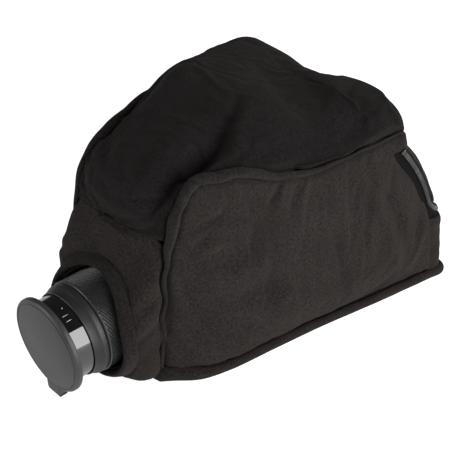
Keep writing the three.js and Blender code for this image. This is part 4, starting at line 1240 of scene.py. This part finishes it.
def camera_parts():
    """The camera keeps its CAD shapes, with a few small pieces added to the magazine."""
    for name, material, radius in (
        ("camera_body", SHELL, 1.2), ("film_magazine", SHELL, 1.0), ("finder_hood", PAINT, 0.8),
        ("eyepiece", GRIP_RUBBER, 0.8), ("shutter_button", BRIGHT, 0.5), ("wind_knob", BLACK_METAL, 0.25),
        ("spool_feed", PAINT, 0.4), ("spool_takeup", PAINT, 0.4), ("dark_slide", BRIGHT, 0.1),
        ("magazine_latch", BRIGHT, 0.3), ("latch_pivot", BRIGHT, 0.3), ("base_board", BOARD, 0.6),
        ("tripod_bush", BRIGHT, 0.3), ("bottom_panel", SEAM_CLOTH, 0.5),
    ):
        dress(name, material, radius)
    plate = block("magazine_back", (58, 0.9, 70), (0, 26.5, 52), PAINT, 0.3)
    belongs(plate, "magazine", "body_shell")
    for i, (x, z) in enumerate(((-25, 22), (25, 22), (-25, 82), (25, 82))):
        head = pill(np.array([x, 27.0, z]), Y, X, Z, 0.6, 1.7, 1.7, 7, 20)
        belongs(joined(f"magazine_screw_{i}", [head], BRIGHT, 50), "magazine", None)
    window = block("film_window", (16, 0.8, 10), (0, 27.0, 56), GLASS, 0.3)
    belongs(window, "magazine", None)


# ---------------------------------------------------------------- light and camera
# Lights and the camera are placed in metres.
def glow(tree, seen, start, terms):
    """Strength that changes with the kind of ray: start, and an amount for each named kind."""
    total = start
    for kind, amount in terms.items():
        total = maths(tree, "MULTIPLY_ADD", seen.outputs[kind], amount, total)
    return total


def studio_floor():
    """Pale paper, bright to the camera and dimmer in reflections."""
    mat, tree, bsdf = new_material("floor_paper", {
        "Base Color": (0.75, 0.75, 0.75, 1), "Roughness": 0.9, "Specular IOR Level": 0.1,
        "Emission Color": (1, 1, 1, 1),
    })
    seen = node(tree, "ShaderNodeLightPath")
    strength = glow(tree, seen, 0.55, {"Is Camera Ray": 0.3, "Is Glossy Ray": -0.35})
    tree.links.new(strength, bsdf.inputs["Emission Strength"])
    r, z = FLOOR_HALF, -0.4
    mesh_object("floor", [(-r, -r, z), (r, -r, z), (r, r, z), (-r, r, z)], [(0, 1, 2, 3)], mat)


def studio_world():
    """White to the camera, dim as a light."""
    world = bpy.data.worlds.new("studio")
    bpy.context.scene.world = world
    world.use_nodes = True
    tree = world.node_tree
    tree.nodes.clear()
    bright = node(tree, "ShaderNodeBackground", {"Color": (1, 1, 1, 1), "Strength": 1.0})
    dim = node(tree, "ShaderNodeBackground", {"Color": (1, 1, 1, 1)})
    seen = node(tree, "ShaderNodeLightPath")
    mix = node(tree, "ShaderNodeMixShader")
    out = node(tree, "ShaderNodeOutputWorld")
    tree.links.new(glow(tree, seen, 0.16, {"Is Glossy Ray": -0.12}), dim.inputs["Strength"])
    tree.links.new(seen.outputs["Is Camera Ray"], mix.inputs["Fac"])
    tree.links.new(dim.outputs["Background"], mix.inputs[1])
    tree.links.new(bright.outputs["Background"], mix.inputs[2])
    tree.links.new(mix.outputs["Shader"], out.inputs["Surface"])


def soft_light(name, place, width, height, power):
    data = bpy.data.lights.new(name, "AREA")
    data.energy = power
    data.shape = "RECTANGLE"
    data.size, data.size_y = width, height
    light = bpy.data.objects.new(name, data)
    light.location = place
    aim = Vector((0, 0, 0.07)) - Vector(place)
    light.rotation_euler = aim.to_track_quat("-Z", "Y").to_euler()
    bpy.context.scene.collection.objects.link(light)


def studio():
    studio_floor()
    studio_world()
    soft_light("key", (0.83, 0.10, 0.34), 1.1, 0.75, 10.5)
    soft_light("front", (-0.55, -1.0, 0.55), 0.6, 0.6, 6.2)
    soft_light("back", (-0.5, 0.9, 0.6), 0.8, 0.8, 1.0)
    bpy.context.scene.view_settings.view_transform = "Standard"


def photo_camera():
    """Camera at the photo's view, 32 degrees across."""
    data = bpy.data.cameras.new("camera")
    data.sensor_width = 36
    data.lens = 18 / math.tan(math.radians(16))
    camera = bpy.data.objects.new("camera", data)
    azimuth, elevation, distance = math.radians(44.6), math.radians(34.2), 0.5595
    target = Vector((-0.00018, -0.0174, 0.0492))
    flat = math.cos(elevation)
    back = Vector((math.sin(azimuth) * flat, -math.cos(azimuth) * flat, math.sin(elevation)))
    camera.location = target + back * distance
    camera.rotation_euler = (-back).to_track_quat("-Z", "Y").to_euler()
    bpy.context.scene.collection.objects.link(camera)
    bpy.context.scene.camera = camera


# ---------------------------------------------------------------- build
for side in (RIGHT, LEFT):
    side_panel(side)
    seam_roll(side)
    gusset(side)
    zip_hardware(side)
top_panel()
front_panel()
rear_panel()
rear_flap()
base_roll()
lens_cuff()
cuff_elastic()
zip_halves()
lens_cap()
barrel()
sleeve()
focus_ring()
camera_parts()
studio()
photo_camera()
